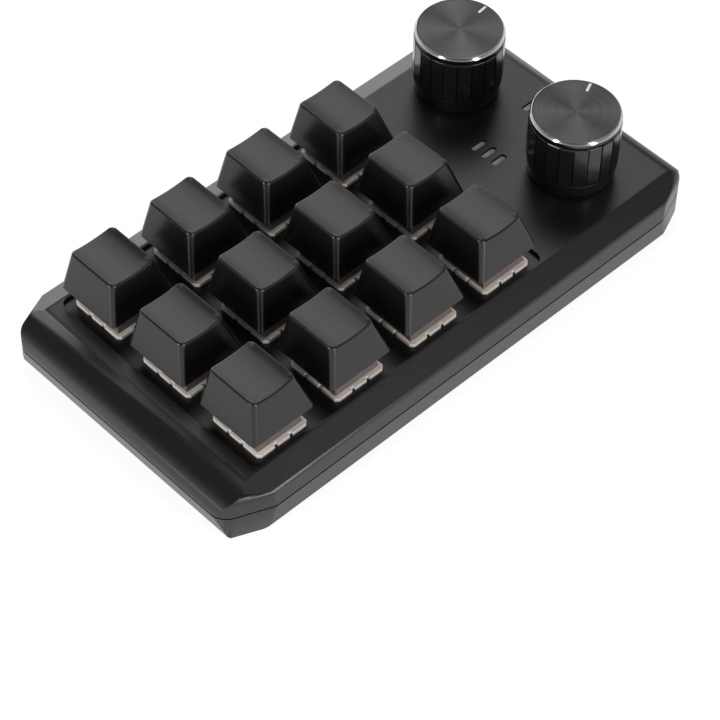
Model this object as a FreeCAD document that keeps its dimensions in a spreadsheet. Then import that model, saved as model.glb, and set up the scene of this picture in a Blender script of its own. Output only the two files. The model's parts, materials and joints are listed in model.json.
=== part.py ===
# Macro keypad: twelve keys in three rows of four and two pressable knobs, on a
# shallow two-piece case. +Z is up, +X runs from the keys to the knobs, +Y runs
# to the back edge with the cable inlet. The origin lies on the desk under the
# middle of the case. All sizes are in millimetres.
import FreeCAD, Part
import math
import os

import Sketcher
from FreeCAD import Rotation, Vector

# Driving sizes
DRIVING_SIZES = {
    # Case outline and levels
    "case_length": 147.0,
    "case_width": 78.0,
    "corner_cut_length": 12.0,
    "corner_cut_width": 5.0,
    "corner_radius": 5.0,
    "wall": 2.4,
    "deck_thickness": 2.0,
    "floor_thickness": 2.0,
    "foot_gap": 1.2,
    "bottom_height": 6.6,
    "top_height": 7.2,
    "seam_gap": 0.4,
    "seam_depth": 0.7,
    # Slopes round the top and the bottom
    "key_end_slope": 8.0,
    "key_end_drop": 3.4,
    "key_end_roll": 5.0,
    "knob_end_slope": 4.0,
    "knob_end_drop": 2.4,
    "knob_end_roll": 4.0,
    "bevel_width": 5.7,
    "bevel_drop": 2.25,
    "side_lean": 0.3,
    "crease_radius": 1.0,
    "deck_edge_radius": 3.0,
    "corner_top_radius": 3.5,
    "end_undercut": 1.8,
    "side_undercut": 0.6,
    "bottom_edge_radius": 1.0,
    # Key field
    "key_pitch": 23.0,
    "key_margin": 21.7,
    "well_margin": 10.2,
    "well_side_margin": 9.5,
    "well_depth": 1.0,
    "well_radius": 2.5,
    "well_wall": 0.8,
    "plate_thickness": 1.5,
    # Keycap
    "cap_base": 18.1,
    "cap_base_shift": 1.0,
    "cap_top_length": 12.4,
    "cap_top_depth": 14.2,
    "cap_top_shift": 2.3,
    "cap_height": 9.7,
    "cap_rim_corner_radius": 0.9,
    "cap_corner_radius": 1.7,
    "cap_top_radius": 0.45,
    "cap_wall": 1.2,
    "cap_roof": 2.2,
    "dish_radius": 32.0,
    "dish_depth": 0.75,
    "cap_seat_depth": 0.8,
    "cap_socket_radius": 2.7,
    # Key switch
    "switch_hole": 14.0,
    "switch_clearance": 0.05,
    "flange_length": 14.6,
    "flange_width": 15.6,
    "flange_thickness": 1.0,
    "flange_corner": 0.8,
    "notch_width": 0.9,
    "notch_depth": 0.7,
    "notch_offset": 2.2,
    "switch_depth": 5.5,
    "switch_wall": 1.1,
    "switch_floor": 1.0,
    "cover_base": 13.2,
    "cover_top_length": 10.8,
    "cover_top_depth": 10.0,
    "cover_height": 5.1,
    "cover_wall": 1.1,
    "slider_length": 7.2,
    "slider_depth": 5.8,
    "slider_floor_gap": 0.7,
    "slider_clearance": 0.2,
    "cross_length": 4.0,
    "cross_bar": 1.1,
    "cross_height": 3.6,
    "cross_clearance": 0.05,
    "cross_end_gap": 0.2,
    "key_travel": 4.0,
    "post_radius": 1.95,
    "post_length": 3.0,
    "barrel_radius": 1.5,
    "barrel_gap": 1.5,
    "pin_radius": 0.6,
    "pin_length": 3.4,
    "pin_head": 0.4,
    "pin_clearance": 0.05,
    "pin_x": 3.81,
    "pin_y": 2.54,
    "second_pin_x": 2.54,
    "second_pin_y": 5.08,
    "spring_radius": 2.05,
    "spring_wire_radius": 0.15,
    "spring_turns": 7.0,
    "spring_well_radius": 2.45,
    "spring_well_depth": 4.3,
    "spring_end_gap": 0.1,
    # Knobs
    "knob_end_margin": 20.7,
    "knob_spacing": 37.8,
    "knob_offset": 2.2,
    "knob_deck_gap": 0.8,
    "knob_height": 17.9,
    "knob_cap_radius": 10.8,
    "knob_cap_thickness": 1.5,
    "knob_rim_width": 0.8,
    "knob_rim_height": 0.85,
    "knob_flat_radius": 10.8,
    "knob_flats": 20.0,
    "knob_rib_gap": 0.35,
    "knob_rib_depth": 0.35,
    "knob_neck_radius": 10.2,
    "knob_neck_height": 0.5,
    "knob_skirt_height": 3.6,
    "knob_skirt_top_radius": 10.6,
    "knob_skirt_radius": 10.3,
    "knob_wall": 1.6,
    "knob_hub_radius": 4.8,
    "knob_hub_gap": 0.8,
    "pointer_length": 2.7,
    "pointer_width": 0.6,
    "pointer_depth": 0.15,
    "pointer_edge": 0.1,
    "back_pointer_angle": 7.0,
    "front_pointer_angle": 24.0,
    # Rotary encoders
    "encoder_length": 12.4,
    "encoder_width": 12.0,
    "encoder_height": 6.5,
    "encoder_window_gap": 0.3,
    "encoder_floor": 1.0,
    "encoder_roof": 1.3,
    "encoder_bore_radius": 5.2,
    "bushing_radius": 3.5,
    "bushing_height": 5.0,
    "shaft_radius": 3.0,
    "shaft_clearance": 0.05,
    "shaft_length": 15.0,
    "shaft_flat": 1.5,
    "shaft_flat_length": 9.2,
    "shaft_end_gap": 0.1,
    "rotor_radius": 4.6,
    "rotor_thickness": 1.0,
    "plunger_radius": 2.2,
    "plunger_height": 0.95,
    "plunger_gap": 0.1,
    "plunger_rise": 0.65,
    "encoder_pin_radius": 0.4,
    "encoder_pin_length": 2.6,
    "encoder_pin_spacing": 2.5,
    "encoder_pin_inset": 0.9,
    # Indicator windows
    "indicator_share": 0.577,
    "indicator_pitch": 3.3,
    "indicator_length": 4.2,
    "indicator_width": 1.5,
    "indicator_clearance": 0.1,
    "indicator_recess": 0.45,
    "indicator_flange": 0.6,
    "indicator_flange_thickness": 1.0,
    "status_distance": 8.0,
    "status_offset": 4.4,
    "led_length": 3.2,
    "led_width": 1.6,
    "led_height": 0.8,
    # Circuit board and what it carries
    "board_gap": 1.6,
    "board_thickness": 1.6,
    "hole_clearance": 0.1,
    "chip_size": 7.0,
    "chip_height": 1.2,
    "chip_edge_gap": 1.0,
    "inlet_distance": 18.0,
    "inlet_width": 8.9,
    "inlet_height": 3.2,
    "inlet_length": 7.3,
    "inlet_wall": 0.3,
    "inlet_back_wall": 0.9,
    "inlet_recess": 0.5,
    "inlet_gap": 0.35,
    "tongue_width": 6.7,
    "tongue_thickness": 0.7,
    "tongue_length": 4.5,
    # Screws and feet
    "screw_end_margin": 10.0,
    "screw_side_margin": 10.0,
    "boss_radius": 3.0,
    "screw_radius": 1.2,
    "screw_clearance": 0.15,
    "pilot_clearance": 0.05,
    "pilot_roof": 0.8,
    "screw_length": 8.3,
    "screw_head_radius": 2.3,
    "screw_head_height": 1.2,
    "screw_head_recess": 0.2,
    "screw_slot_length": 3.0,
    "screw_slot_width": 0.6,
    "screw_slot_depth": 0.5,
    "foot_radius": 4.5,
    "foot_thickness": 2.0,
    "foot_clearance": 0.2,
    "foot_end_margin": 24.0,
    "foot_side_margin": 9.0,
}

COLUMNS = 4
ROWS = 3

# How far a cutting block starts before a face, how far it runs on, and how far fused pieces
# run into each other
CUT_LEAD = 1.0
CUT_MARGIN = 5.0
OVERLAP = 0.3

doc = FreeCAD.newDocument("macro_keypad")
sheet = doc.addObject("Spreadsheet::Sheet", "size")
for row, (alias, number) in enumerate(DRIVING_SIZES.items(), start=1):
    sheet.set(f"A{row}", alias.replace("_", " "))
    sheet.set(f"B{row}", str(number))
    sheet.setAlias(f"B{row}", alias)
doc.recompute()


class Size:
    """A length that keeps both its number and its formula in the sheet."""

    def __init__(self, value, formula):
        self.value = value
        self.formula = formula

    def __add__(self, other):
        other = as_size(other)
        return Size(self.value + other.value, f"({self.formula} + {other.formula})")

    def __sub__(self, other):
        other = as_size(other)
        return Size(self.value - other.value, f"({self.formula} - {other.formula})")

    def __mul__(self, factor):
        factor = as_size(factor)
        return Size(self.value * factor.value, f"({self.formula} * {factor.formula})")

    def __truediv__(self, divisor):
        divisor = as_size(divisor)
        return Size(self.value / divisor.value, f"({self.formula} / {divisor.formula})")

    def __neg__(self):
        return Size(-self.value, f"(-1 * {self.formula})")

    def __radd__(self, other):
        return as_size(other) + self

    def __rsub__(self, other):
        return as_size(other) - self

    def __rmul__(self, other):
        return as_size(other) * self


def as_size(number):
    """A plain number as a Size, so that both can be added."""
    if isinstance(number, Size):
        return number
    return Size(float(number), str(float(number)))


def size(alias):
    """The driving size with this name."""
    return Size(float(DRIVING_SIZES[alias]), f"size.{alias}")


# Levels above the desk
ZERO = as_size(0.0)
CASE_BOTTOM = size("foot_gap")
FLOOR = CASE_BOTTOM + size("floor_thickness")
SEAM = CASE_BOTTOM + size("bottom_height")
DECK = SEAM + size("top_height")
ROOF = DECK - size("deck_thickness")
PLATE_TOP = DECK - size("well_depth")
PLATE_BOTTOM = PLATE_TOP - size("plate_thickness")
FLANGE_TOP = PLATE_TOP + size("flange_thickness")
BOARD_TOP = PLATE_TOP - size("switch_depth")
BOARD_BOTTOM = BOARD_TOP - size("board_thickness")
COVER_TOP = FLANGE_TOP + size("cover_height")
TUB_FLOOR = BOARD_TOP + size("switch_floor")
SLIDER_BOTTOM = TUB_FLOOR + size("slider_floor_gap") + size("key_travel")
CAP_BOTTOM = COVER_TOP - size("cap_seat_depth")
ENCODER_TOP = BOARD_TOP + size("encoder_height")
KNOB_BOTTOM = DECK + size("knob_deck_gap")

# Places seen from above
HALF_LENGTH = size("case_length") / 2
HALF_WIDTH = size("case_width") / 2
FIRST_COLUMN = size("key_margin") - HALF_LENGTH
LAST_COLUMN = FIRST_COLUMN + size("key_pitch") * (COLUMNS - 1)
OUTER_ROW = size("key_pitch") * (ROWS - 1) / 2
KNOB_X = HALF_LENGTH - size("knob_end_margin")
KNOB_PLACES = {
    "back": size("knob_offset") + size("knob_spacing") / 2,
    "front": size("knob_offset") - size("knob_spacing") / 2,
}
SCREW_X = HALF_LENGTH - size("screw_end_margin")
SCREW_Y = HALF_WIDTH - size("screw_side_margin")
MIDDLE_SCREW_X = FIRST_COLUMN + size("key_pitch") * 1.5
SCREW_PLACES = [
    (-SCREW_X, -SCREW_Y),
    (-SCREW_X, SCREW_Y),
    (SCREW_X, -SCREW_Y),
    (SCREW_X, SCREW_Y),
    (MIDDLE_SCREW_X, -size("key_pitch") / 2),
    (MIDDLE_SCREW_X, size("key_pitch") / 2),
]
FOOT_X = HALF_LENGTH - size("foot_end_margin")
FOOT_Y = HALF_WIDTH - size("foot_side_margin")
FOOT_PLACES = [(-FOOT_X, -FOOT_Y), (-FOOT_X, FOOT_Y), (FOOT_X, -FOOT_Y), (FOOT_X, FOOT_Y)]
WELL_END = LAST_COLUMN + size("well_margin") + size("well_wall")
INDICATOR_X = WELL_END + (KNOB_X - WELL_END) * size("indicator_share")
INDICATOR_PLACES = [
    (INDICATOR_X, -size("indicator_pitch")),
    (INDICATOR_X, ZERO),
    (INDICATOR_X, size("indicator_pitch")),
    (KNOB_X + size("status_distance"), size("status_offset")),
]
INLET_X = LAST_COLUMN + size("inlet_distance")
INLET_Y = HALF_WIDTH - size("inlet_recess") - size("inlet_length")
INLET_Z = BOARD_TOP + size("inlet_height") / 2
PIN_PLACES = [
    (-size("pin_x"), size("pin_y")),
    (size("second_pin_x"), size("second_pin_y")),
]

parts = {}


def key_places():
    """Row, column and centre of every key, from the back left corner."""
    for row in range(ROWS):
        for column in range(COLUMNS):
            x = FIRST_COLUMN + size("key_pitch") * column
            y = OUTER_ROW - size("key_pitch") * row
            yield row + 1, column + 1, x, y


def bind(thing, **sizes):
    """Tie properties of an object to sizes in the sheet."""
    for name, value in sizes.items():
        thing.setExpression(name, as_size(value).formula)
    return thing


def put(thing, x=0.0, y=0.0, z=0.0):
    """Tie an object's place to sizes in the sheet."""
    for axis, value in zip("xyz", (x, y, z)):
        thing.setExpression(f"Placement.Base.{axis}", as_size(value).formula)
    return thing


def keep(name, thing):
    """Name a finished sub-part."""
    thing.Label = name
    parts[name] = thing
    return thing


# Simple solids
def box(name, length, width, height, x=0.0, y=0.0, z=0.0):
    """A block centred on x and y, standing on z."""
    block = bind(doc.addObject("Part::Box", name), Length=length, Width=width, Height=height)
    return put(block, as_size(x) - as_size(length) / 2, as_size(y) - as_size(width) / 2, z)


def cylinder(name, radius, height, x=0.0, y=0.0, z=0.0):
    """An upright cylinder standing on z."""
    return put(bind(doc.addObject("Part::Cylinder", name), Radius=radius, Height=height), x, y, z)


def group(name, things):
    """Several solids held as one object."""
    compound = doc.addObject("Part::Compound", name)
    compound.Links = things
    return compound


def fuse(name, things):
    """Several solids joined into one."""
    joined = doc.addObject("Part::MultiFuse", name)
    joined.Shapes = things
    return joined


def common(name, things):
    """What several solids have in common."""
    shared = doc.addObject("Part::MultiCommon", name)
    shared.Shapes = things
    return shared


def cut(name, base, tool):
    """One solid with another taken away."""
    result = doc.addObject("Part::Cut", name)
    result.Base = base
    result.Tool = tool
    return result


# Sketched solids
def sketch_on(body, plane, z=None):
    """An empty sketch on one of a body's own planes, lifted by z along its normal."""
    sketch = body.newObject("Sketcher::SketchObject", f"{body.Name}_outline")
    origin_plane = [f for f in body.Origin.OriginFeatures if f.Role == f"{plane}_Plane"][0]
    sketch.AttachmentSupport = [(origin_plane, "")]
    sketch.MapMode = "FlatFace"
    if z is not None:
        sketch.setExpression("AttachmentOffset.Base.z", as_size(z).formula)
    return sketch


def draw_polygon(sketch, points):
    """Closed straight outline whose every corner is placed by sizes."""
    corners = [(as_size(x), as_size(y)) for x, y in points]
    first = sketch.GeometryCount
    for (x1, y1), (x2, y2) in zip(corners, corners[1:] + corners[:1]):
        start = Vector(x1.value, y1.value, 0)
        end = Vector(x2.value, y2.value, 0)
        sketch.addGeometry(Part.LineSegment(start, end), False)
    for step, (x, y) in enumerate(corners):
        line = first + step
        following = first + (step + 1) % len(corners)
        sketch.addConstraint(Sketcher.Constraint("Coincident", line, 2, following, 1))
        for direction, place in (("DistanceX", x), ("DistanceY", y)):
            number = sketch.addConstraint(
                Sketcher.Constraint(direction, -1, 1, line, 1, place.value)
            )
            sketch.setExpression(f"Constraints[{number}]", place.formula)


def draw_circle(sketch, x, y, radius):
    """Circle placed and sized by sizes."""
    centre = Vector(as_size(x).value, as_size(y).value, 0)
    geometry = sketch.addGeometry(Part.Circle(centre, Vector(0, 0, 1), radius.value), False)
    for direction, place in (("DistanceX", as_size(x)), ("DistanceY", as_size(y))):
        number = sketch.addConstraint(
            Sketcher.Constraint(direction, -1, 1, geometry, 3, place.value)
        )
        sketch.setExpression(f"Constraints[{number}]", place.formula)
    number = sketch.addConstraint(Sketcher.Constraint("Radius", geometry, radius.value))
    sketch.setExpression(f"Constraints[{number}]", radius.formula)


def draw_rounded_rectangle(sketch, length, width, radius, y=0.0):
    """Rectangle centred on x = 0 and y, with rounded corners."""
    x = as_size(length) / 2 - radius
    y = as_size(y)
    reach = as_size(width) / 2 - radius
    centres = [(x, y + reach), (-x, y + reach), (-x, y - reach), (x, y - reach)]
    arcs = []
    for quarter, (centre_x, centre_y) in enumerate(centres):
        centre = Vector(centre_x.value, centre_y.value, 0)
        circle = Part.Circle(centre, Vector(0, 0, 1), radius.value)
        start = quarter * math.pi / 2
        arc = sketch.addGeometry(Part.ArcOfCircle(circle, start, start + math.pi / 2), False)
        for direction, place in (("DistanceX", centre_x), ("DistanceY", centre_y)):
            number = sketch.addConstraint(
                Sketcher.Constraint(direction, -1, 1, arc, 3, place.value)
            )
            sketch.setExpression(f"Constraints[{number}]", place.formula)
        number = sketch.addConstraint(Sketcher.Constraint("Radius", arc, radius.value))
        sketch.setExpression(f"Constraints[{number}]", radius.formula)
        level, upright = ("Horizontal", "Vertical") if quarter % 2 == 0 else ("Vertical", "Horizontal")
        sketch.addConstraint(Sketcher.Constraint(level, arc, 3, arc, 1))
        sketch.addConstraint(Sketcher.Constraint(upright, arc, 3, arc, 2))
        arcs.append(arc)
    for arc, following in zip(arcs, arcs[1:] + arcs[:1]):
        straight = Part.LineSegment(sketch.getPoint(arc, 2), sketch.getPoint(following, 1))
        line = sketch.addGeometry(straight, False)
        sketch.addConstraint(Sketcher.Constraint("Coincident", arc, 2, line, 1))
        sketch.addConstraint(Sketcher.Constraint("Coincident", line, 2, following, 1))


def pad(body, sketch, length, both_ways=False):
    """Material added along a sketch's normal."""
    feature = body.newObject("PartDesign::Pad", f"{body.Name}_pad")
    feature.Profile = sketch
    if both_ways:
        feature.SideType = "Symmetric"
    bind(feature, Length=length)
    return feature


def prism(name, plane, points, length, both_ways=True):
    """A body with one straight-sided outline pushed along its normal."""
    body = doc.addObject("PartDesign::Body", name)
    sketch = sketch_on(body, plane)
    draw_polygon(sketch, points)
    pad(body, sketch, length, both_ways)
    doc.recompute()
    return body


def round_edges(body, radius, chosen):
    """Fillet the edges of a body for which chosen(edge) is true."""
    base = body.Tip
    names = [f"Edge{i + 1}" for i, edge in enumerate(base.Shape.Edges) if chosen(edge)]
    fillet = body.newObject("PartDesign::Fillet", f"{body.Name}_fillet")
    fillet.Base = (base, names)
    bind(fillet, Radius=radius)
    doc.recompute()
    return body


def through(plane, first, second):
    """Test for an edge square to a plane that passes through one of its points."""
    axes = {"XZ": ("x", "z", "y"), "YZ": ("y", "z", "x"), "XY": ("x", "y", "z")}[plane]

    def passes(edge):
        start, end = edge.Vertexes[0].Point, edge.Vertexes[-1].Point
        near = abs(getattr(start, axes[0]) - as_size(first).value) < 0.01
        near = near and abs(getattr(start, axes[1]) - as_size(second).value) < 0.01
        return near and abs(getattr(start, axes[2]) - getattr(end, axes[2])) > 0.1

    return passes


def tapered_block(name, base, top, height):
    """A block whose rectangle changes from base to top."""
    body = doc.addObject("PartDesign::Body", name)
    lower = sketch_on(body, "XY")
    draw_polygon(lower, rectangle(*base))
    upper = sketch_on(body, "XY", height)
    draw_polygon(upper, rectangle(*top))
    loft = body.newObject("PartDesign::AdditiveLoft", f"{name}_loft")
    loft.Profile = lower
    loft.Sections = [upper]
    loft.Ruled = True
    doc.recompute()
    return body


def rectangle(length, width, x=0.0, y=0.0):
    """Corners of a rectangle centred on x and y."""
    half_length, half_width = as_size(length) / 2, as_size(width) / 2
    x, y = as_size(x), as_size(y)
    return [
        (x - half_length, y - half_width),
        (x + half_length, y - half_width),
        (x + half_length, y + half_width),
        (x - half_length, y + half_width),
    ]


def plus_sign(length, bar):
    """Corners of a plus sign centred on the origin."""
    reach, half = as_size(length) / 2, as_size(bar) / 2
    return [
        (-half, -reach),
        (half, -reach),
        (half, -half),
        (reach, -half),
        (reach, half),
        (half, half),
        (half, reach),
        (-half, reach),
        (-half, half),
        (-reach, half),
        (-reach, -half),
        (-half, -half),
    ]


def stadium(name, length, width, height, x, y, z):
    """An upright block with half-round ends along X."""
    straight = as_size(length) - as_size(width)
    radius = as_size(width) / 2
    pieces = [
        box(f"{name}_middle", straight, width, height, x, y, z),
        cylinder(f"{name}_left", radius, height, as_size(x) - straight / 2, y, z),
        cylinder(f"{name}_right", radius, height, as_size(x) + straight / 2, y, z),
    ]
    return fuse(name, pieces)


def bar_along_y(name, width, height, length, x, y, z):
    """A lying block with half-round sides, its section centred on x and z, from y on."""
    straight = as_size(width) - as_size(height)
    radius = as_size(height) / 2
    rounds = []
    for side, place in (("left", x - straight / 2), ("right", x + straight / 2)):
        lying = cylinder(f"{name}_{side}", radius, length, place, y, z)
        lying.Placement.Rotation = Rotation(Vector(1, 0, 0), -90)
        rounds.append(put(lying, place, y, z))
    middle = box(f"{name}_middle", straight, length, height, x, y + length / 2, z - radius)
    return fuse(name, [middle] + rounds)


# Case
def case_outline(inset):
    """Corners of the case seen from above, drawn in by inset."""
    x = HALF_LENGTH - inset
    y = HALF_WIDTH - inset
    return cut_rectangle(x, y)


def cut_rectangle(x, y):
    """Corners of a rectangle with its four corners cut off."""
    short_x = x - size("corner_cut_length")
    short_y = y - size("corner_cut_width")
    return [
        (-short_x, -y),
        (short_x, -y),
        (x, -short_y),
        (x, short_y),
        (short_x, y),
        (-short_x, y),
        (-x, short_y),
        (-x, -short_y),
    ]


def plan_block(name, inset, z, height):
    """The case outline as a block, with its upright edges rounded."""
    outline = case_outline(as_size(inset))
    body = prism(name, "XY", outline, height, both_ways=False)
    corners = [through("XY", x, y) for x, y in outline]
    round_edges(body, size("corner_radius"), lambda edge: any(c(edge) for c in corners))
    return put(body, z=z)


def top_hood(name, inset, roof, rounded):
    """The top shell's outer form, or with an inset and a roof what it encloses."""
    inset, roof = as_size(inset), as_size(roof)
    x = HALF_LENGTH - inset
    y = HALF_WIDTH - inset
    deck = DECK - roof
    key_shoulder = (-x, deck - size("key_end_drop"))
    key_crest = (-x + size("key_end_slope"), deck)
    knob_shoulder = (x, deck - size("knob_end_drop"))
    knob_crest = (x - size("knob_end_slope"), deck)
    side_profile = [
        (-x, SEAM),
        (x, SEAM),
        knob_shoulder,
        knob_crest,
        key_crest,
        key_shoulder,
    ]
    side = prism(f"{name}_side", "XZ", side_profile, size("case_width") + CUT_MARGIN)

    front_crease = (-y + size("side_lean"), deck - size("bevel_drop"))
    back_crease = (y - size("side_lean"), deck - size("bevel_drop"))
    front_edge = (front_crease[0] + size("bevel_width"), deck)
    back_edge = (back_crease[0] - size("bevel_width"), deck)
    cross_profile = [(-y, SEAM), (y, SEAM), back_crease, back_edge, front_edge, front_crease]
    cross = prism(f"{name}_cross", "YZ", cross_profile, size("case_length") + CUT_MARGIN)
    if rounded:
        round_edges(side, size("key_end_roll"), through("XZ", *key_shoulder))
        round_edges(side, size("key_end_roll"), through("XZ", *key_crest))
        round_edges(side, size("knob_end_roll"), through("XZ", *knob_shoulder))
        round_edges(side, size("knob_end_roll"), through("XZ", *knob_crest))
        for crease in (front_crease, back_crease):
            round_edges(cross, size("crease_radius"), through("YZ", *crease))
        for edge in (front_edge, back_edge):
            round_edges(cross, size("deck_edge_radius"), through("YZ", *edge))

    plan = plan_block(f"{name}_plan", inset, SEAM, size("top_height"))
    if rounded:
        top = (size("top_height") - OVERLAP).value
        round_edges(plan, size("corner_top_radius"), lambda edge: local_bottom(plan, edge) > top)
    return common(name, [side, cross, plan])


def local_bottom(body, edge):
    """The lowest level of one of a body's edges, measured from the body's own base."""
    return edge.BoundBox.ZMin - body.Tip.Shape.BoundBox.ZMin


def key_well():
    """The sunken field round the keys, as the block that it takes away."""
    left = FIRST_COLUMN - size("well_margin")
    right = LAST_COLUMN + size("well_margin")
    half_depth = OUTER_ROW + size("well_side_margin")
    corners = [(left, -half_depth), (right, -half_depth), (right, half_depth), (left, half_depth)]
    body = prism("key_well", "XY", corners, size("well_depth") + CUT_MARGIN, both_ways=False)
    edges = [through("XY", x, y) for x, y in corners]
    round_edges(body, size("well_radius"), lambda edge: any(e(edge) for e in edges))
    return put(body, z=PLATE_TOP)


def make_top_shell():
    """Deck, rolled ends, bevels, key plate and screw bosses in one moulding."""
    outside = top_hood("top_outside", ZERO, ZERO, rounded=True)
    inside = top_hood("top_inside", size("wall"), size("deck_thickness"), rounded=False)
    shell = cut("top_skin", outside, inside)

    plate_length = LAST_COLUMN - FIRST_COLUMN + size("well_margin") * 2 + size("well_wall") * 2
    plate_width = OUTER_ROW * 2 + size("well_side_margin") * 2 + size("well_wall") * 2
    plate_x = (FIRST_COLUMN + LAST_COLUMN) / 2
    plate_height = ROOF - PLATE_BOTTOM + OVERLAP
    pieces = [box("key_plate", plate_length, plate_width, plate_height, plate_x, 0.0, PLATE_BOTTOM)]
    boss_height = ROOF - BOARD_TOP
    for number, (x, y) in enumerate(SCREW_PLACES):
        pieces.append(cylinder(f"top_boss_{number}", size("boss_radius"), boss_height, x, y, BOARD_TOP))
    solid = fuse("top_solid", [shell] + pieces)

    holes = [key_well(), seam_reveal()]
    opening = size("switch_hole")
    for row, column, x, y in key_places():
        name = f"switch_opening_{row}_{column}"
        holes.append(box(name, opening, opening, CUT_MARGIN, x, y, PLATE_BOTTOM - CUT_LEAD))
    for name, y in KNOB_PLACES.items():
        length = size("encoder_length") + size("encoder_window_gap") * 2
        width = size("encoder_width") + size("encoder_window_gap") * 2
        window = box(f"{name}_encoder_window", length, width, CUT_MARGIN, KNOB_X, y, ROOF - CUT_LEAD)
        holes.append(window)
    for number, (x, y) in enumerate(INDICATOR_PLACES):
        length, width = size("indicator_length"), size("indicator_width")
        holes.append(stadium(f"slot_{number}", length, width, CUT_MARGIN, x, y, ROOF - CUT_LEAD))
    pilot = size("screw_radius") + size("pilot_clearance")
    pilot_depth = ROOF - BOARD_TOP - size("pilot_roof") + CUT_LEAD
    for number, (x, y) in enumerate(SCREW_PLACES):
        holes.append(cylinder(f"pilot_{number}", pilot, pilot_depth, x, y, BOARD_TOP - CUT_LEAD))
    holes.append(inlet_opening())
    return keep("top_shell", cut("top_shell", solid, group("top_holes", holes)))


def inlet_opening():
    """The room that the cable inlet takes from the back wall and the bevel's underside."""
    gap = size("inlet_gap")
    width = size("inlet_width") + gap * 2
    height = size("inlet_height") + gap * 2
    start = INLET_Y - gap
    length = HALF_WIDTH - start + CUT_LEAD
    return bar_along_y("inlet_opening", width, height, length, INLET_X, start, INLET_Z)


def seam_reveal():
    """Shallow groove round the case just above the parting line."""
    length = size("case_length") + CUT_LEAD
    width = size("case_width") + CUT_LEAD
    ring = box("reveal_block", length, width, size("seam_gap"), z=SEAM)
    core_height = size("seam_gap") + CUT_LEAD * 2
    core = plan_block("reveal_core", size("seam_depth"), SEAM - CUT_LEAD, core_height)
    return cut("seam_reveal", ring, core)


def make_bottom_shell():
    """Tray with screw bosses, screw recesses and pockets for the feet."""
    low = HALF_LENGTH - size("end_undercut")
    low_corners = [(-low, CASE_BOTTOM), (low, CASE_BOTTOM)]
    side_profile = low_corners + [(HALF_LENGTH, SEAM), (-HALF_LENGTH, SEAM)]
    side = prism("bottom_side", "XZ", side_profile, size("case_width") + CUT_MARGIN)
    for corner in low_corners:
        round_edges(side, size("bottom_edge_radius"), through("XZ", *corner))

    low = HALF_WIDTH - size("side_undercut")
    low_corners = [(-low, CASE_BOTTOM), (low, CASE_BOTTOM)]
    cross_profile = low_corners + [(HALF_WIDTH, SEAM), (-HALF_WIDTH, SEAM)]
    cross = prism("bottom_cross", "YZ", cross_profile, size("case_length") + CUT_MARGIN)
    for corner in low_corners:
        round_edges(cross, size("bottom_edge_radius"), through("YZ", *corner))

    plan = plan_block("bottom_plan", 0.0, CASE_BOTTOM, size("bottom_height"))
    outside = common("bottom_outside", [side, cross, plan])
    inside = plan_block("bottom_inside", size("wall"), FLOOR, size("bottom_height"))
    pieces = [cut("bottom_tray", outside, inside)]
    boss_height = BOARD_BOTTOM - FLOOR + OVERLAP
    for number, (x, y) in enumerate(SCREW_PLACES):
        name = f"bottom_boss_{number}"
        pieces.append(cylinder(name, size("boss_radius"), boss_height, x, y, FLOOR - OVERLAP))
    solid = fuse("bottom_solid", pieces)

    holes = []
    bore = size("screw_radius") + size("screw_clearance")
    head = size("screw_head_radius") + size("screw_clearance")
    head_depth = size("screw_head_recess") + size("screw_head_height")
    for number, (x, y) in enumerate(SCREW_PLACES):
        holes.append(cylinder(f"screw_bore_{number}", bore, BOARD_TOP, x, y, ZERO))
        holes.append(cylinder(f"head_pocket_{number}", head, CASE_BOTTOM + head_depth, x, y, ZERO))
    pocket = size("foot_radius") + size("foot_clearance")
    for number, (x, y) in enumerate(FOOT_PLACES):
        holes.append(cylinder(f"foot_pocket_{number}", pocket, size("foot_thickness"), x, y, ZERO))
    return keep("bottom_shell", cut("bottom_shell", solid, group("bottom_holes", holes)))


def make_screws():
    """Pan-head screws that clamp both shells and the board."""
    head_z = CASE_BOTTOM + size("screw_head_recess")
    head_height = size("screw_head_height")
    shank_z = head_z + head_height - OVERLAP
    shank_length = size("screw_length") + OVERLAP
    long, narrow = size("screw_slot_length"), size("screw_slot_width")
    slot_height = size("screw_slot_depth") + CUT_LEAD
    slot_z = head_z - CUT_LEAD
    screws = []
    for number, (x, y) in enumerate(SCREW_PLACES):
        head = cylinder(f"head_{number}", size("screw_head_radius"), head_height, x, y, head_z)
        shank = cylinder(f"shank_{number}", size("screw_radius"), shank_length, x, y, shank_z)
        slots = [
            box(f"slot_x_{number}", long, narrow, slot_height, x, y, slot_z),
            box(f"slot_y_{number}", narrow, long, slot_height, x, y, slot_z),
        ]
        solid = fuse(f"screw_solid_{number}", [head, shank])
        screws.append(cut(f"screw_{number}", solid, fuse(f"screw_slots_{number}", slots)))
    return keep("case_screws", group("case_screws", screws))


def make_feet():
    """Round rubber feet seated in the bottom shell."""
    feet = []
    for number, (x, y) in enumerate(FOOT_PLACES):
        feet.append(cylinder(f"foot_{number}", size("foot_radius"), size("foot_thickness"), x, y))
    return keep("rubber_feet", group("rubber_feet", feet))


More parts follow.
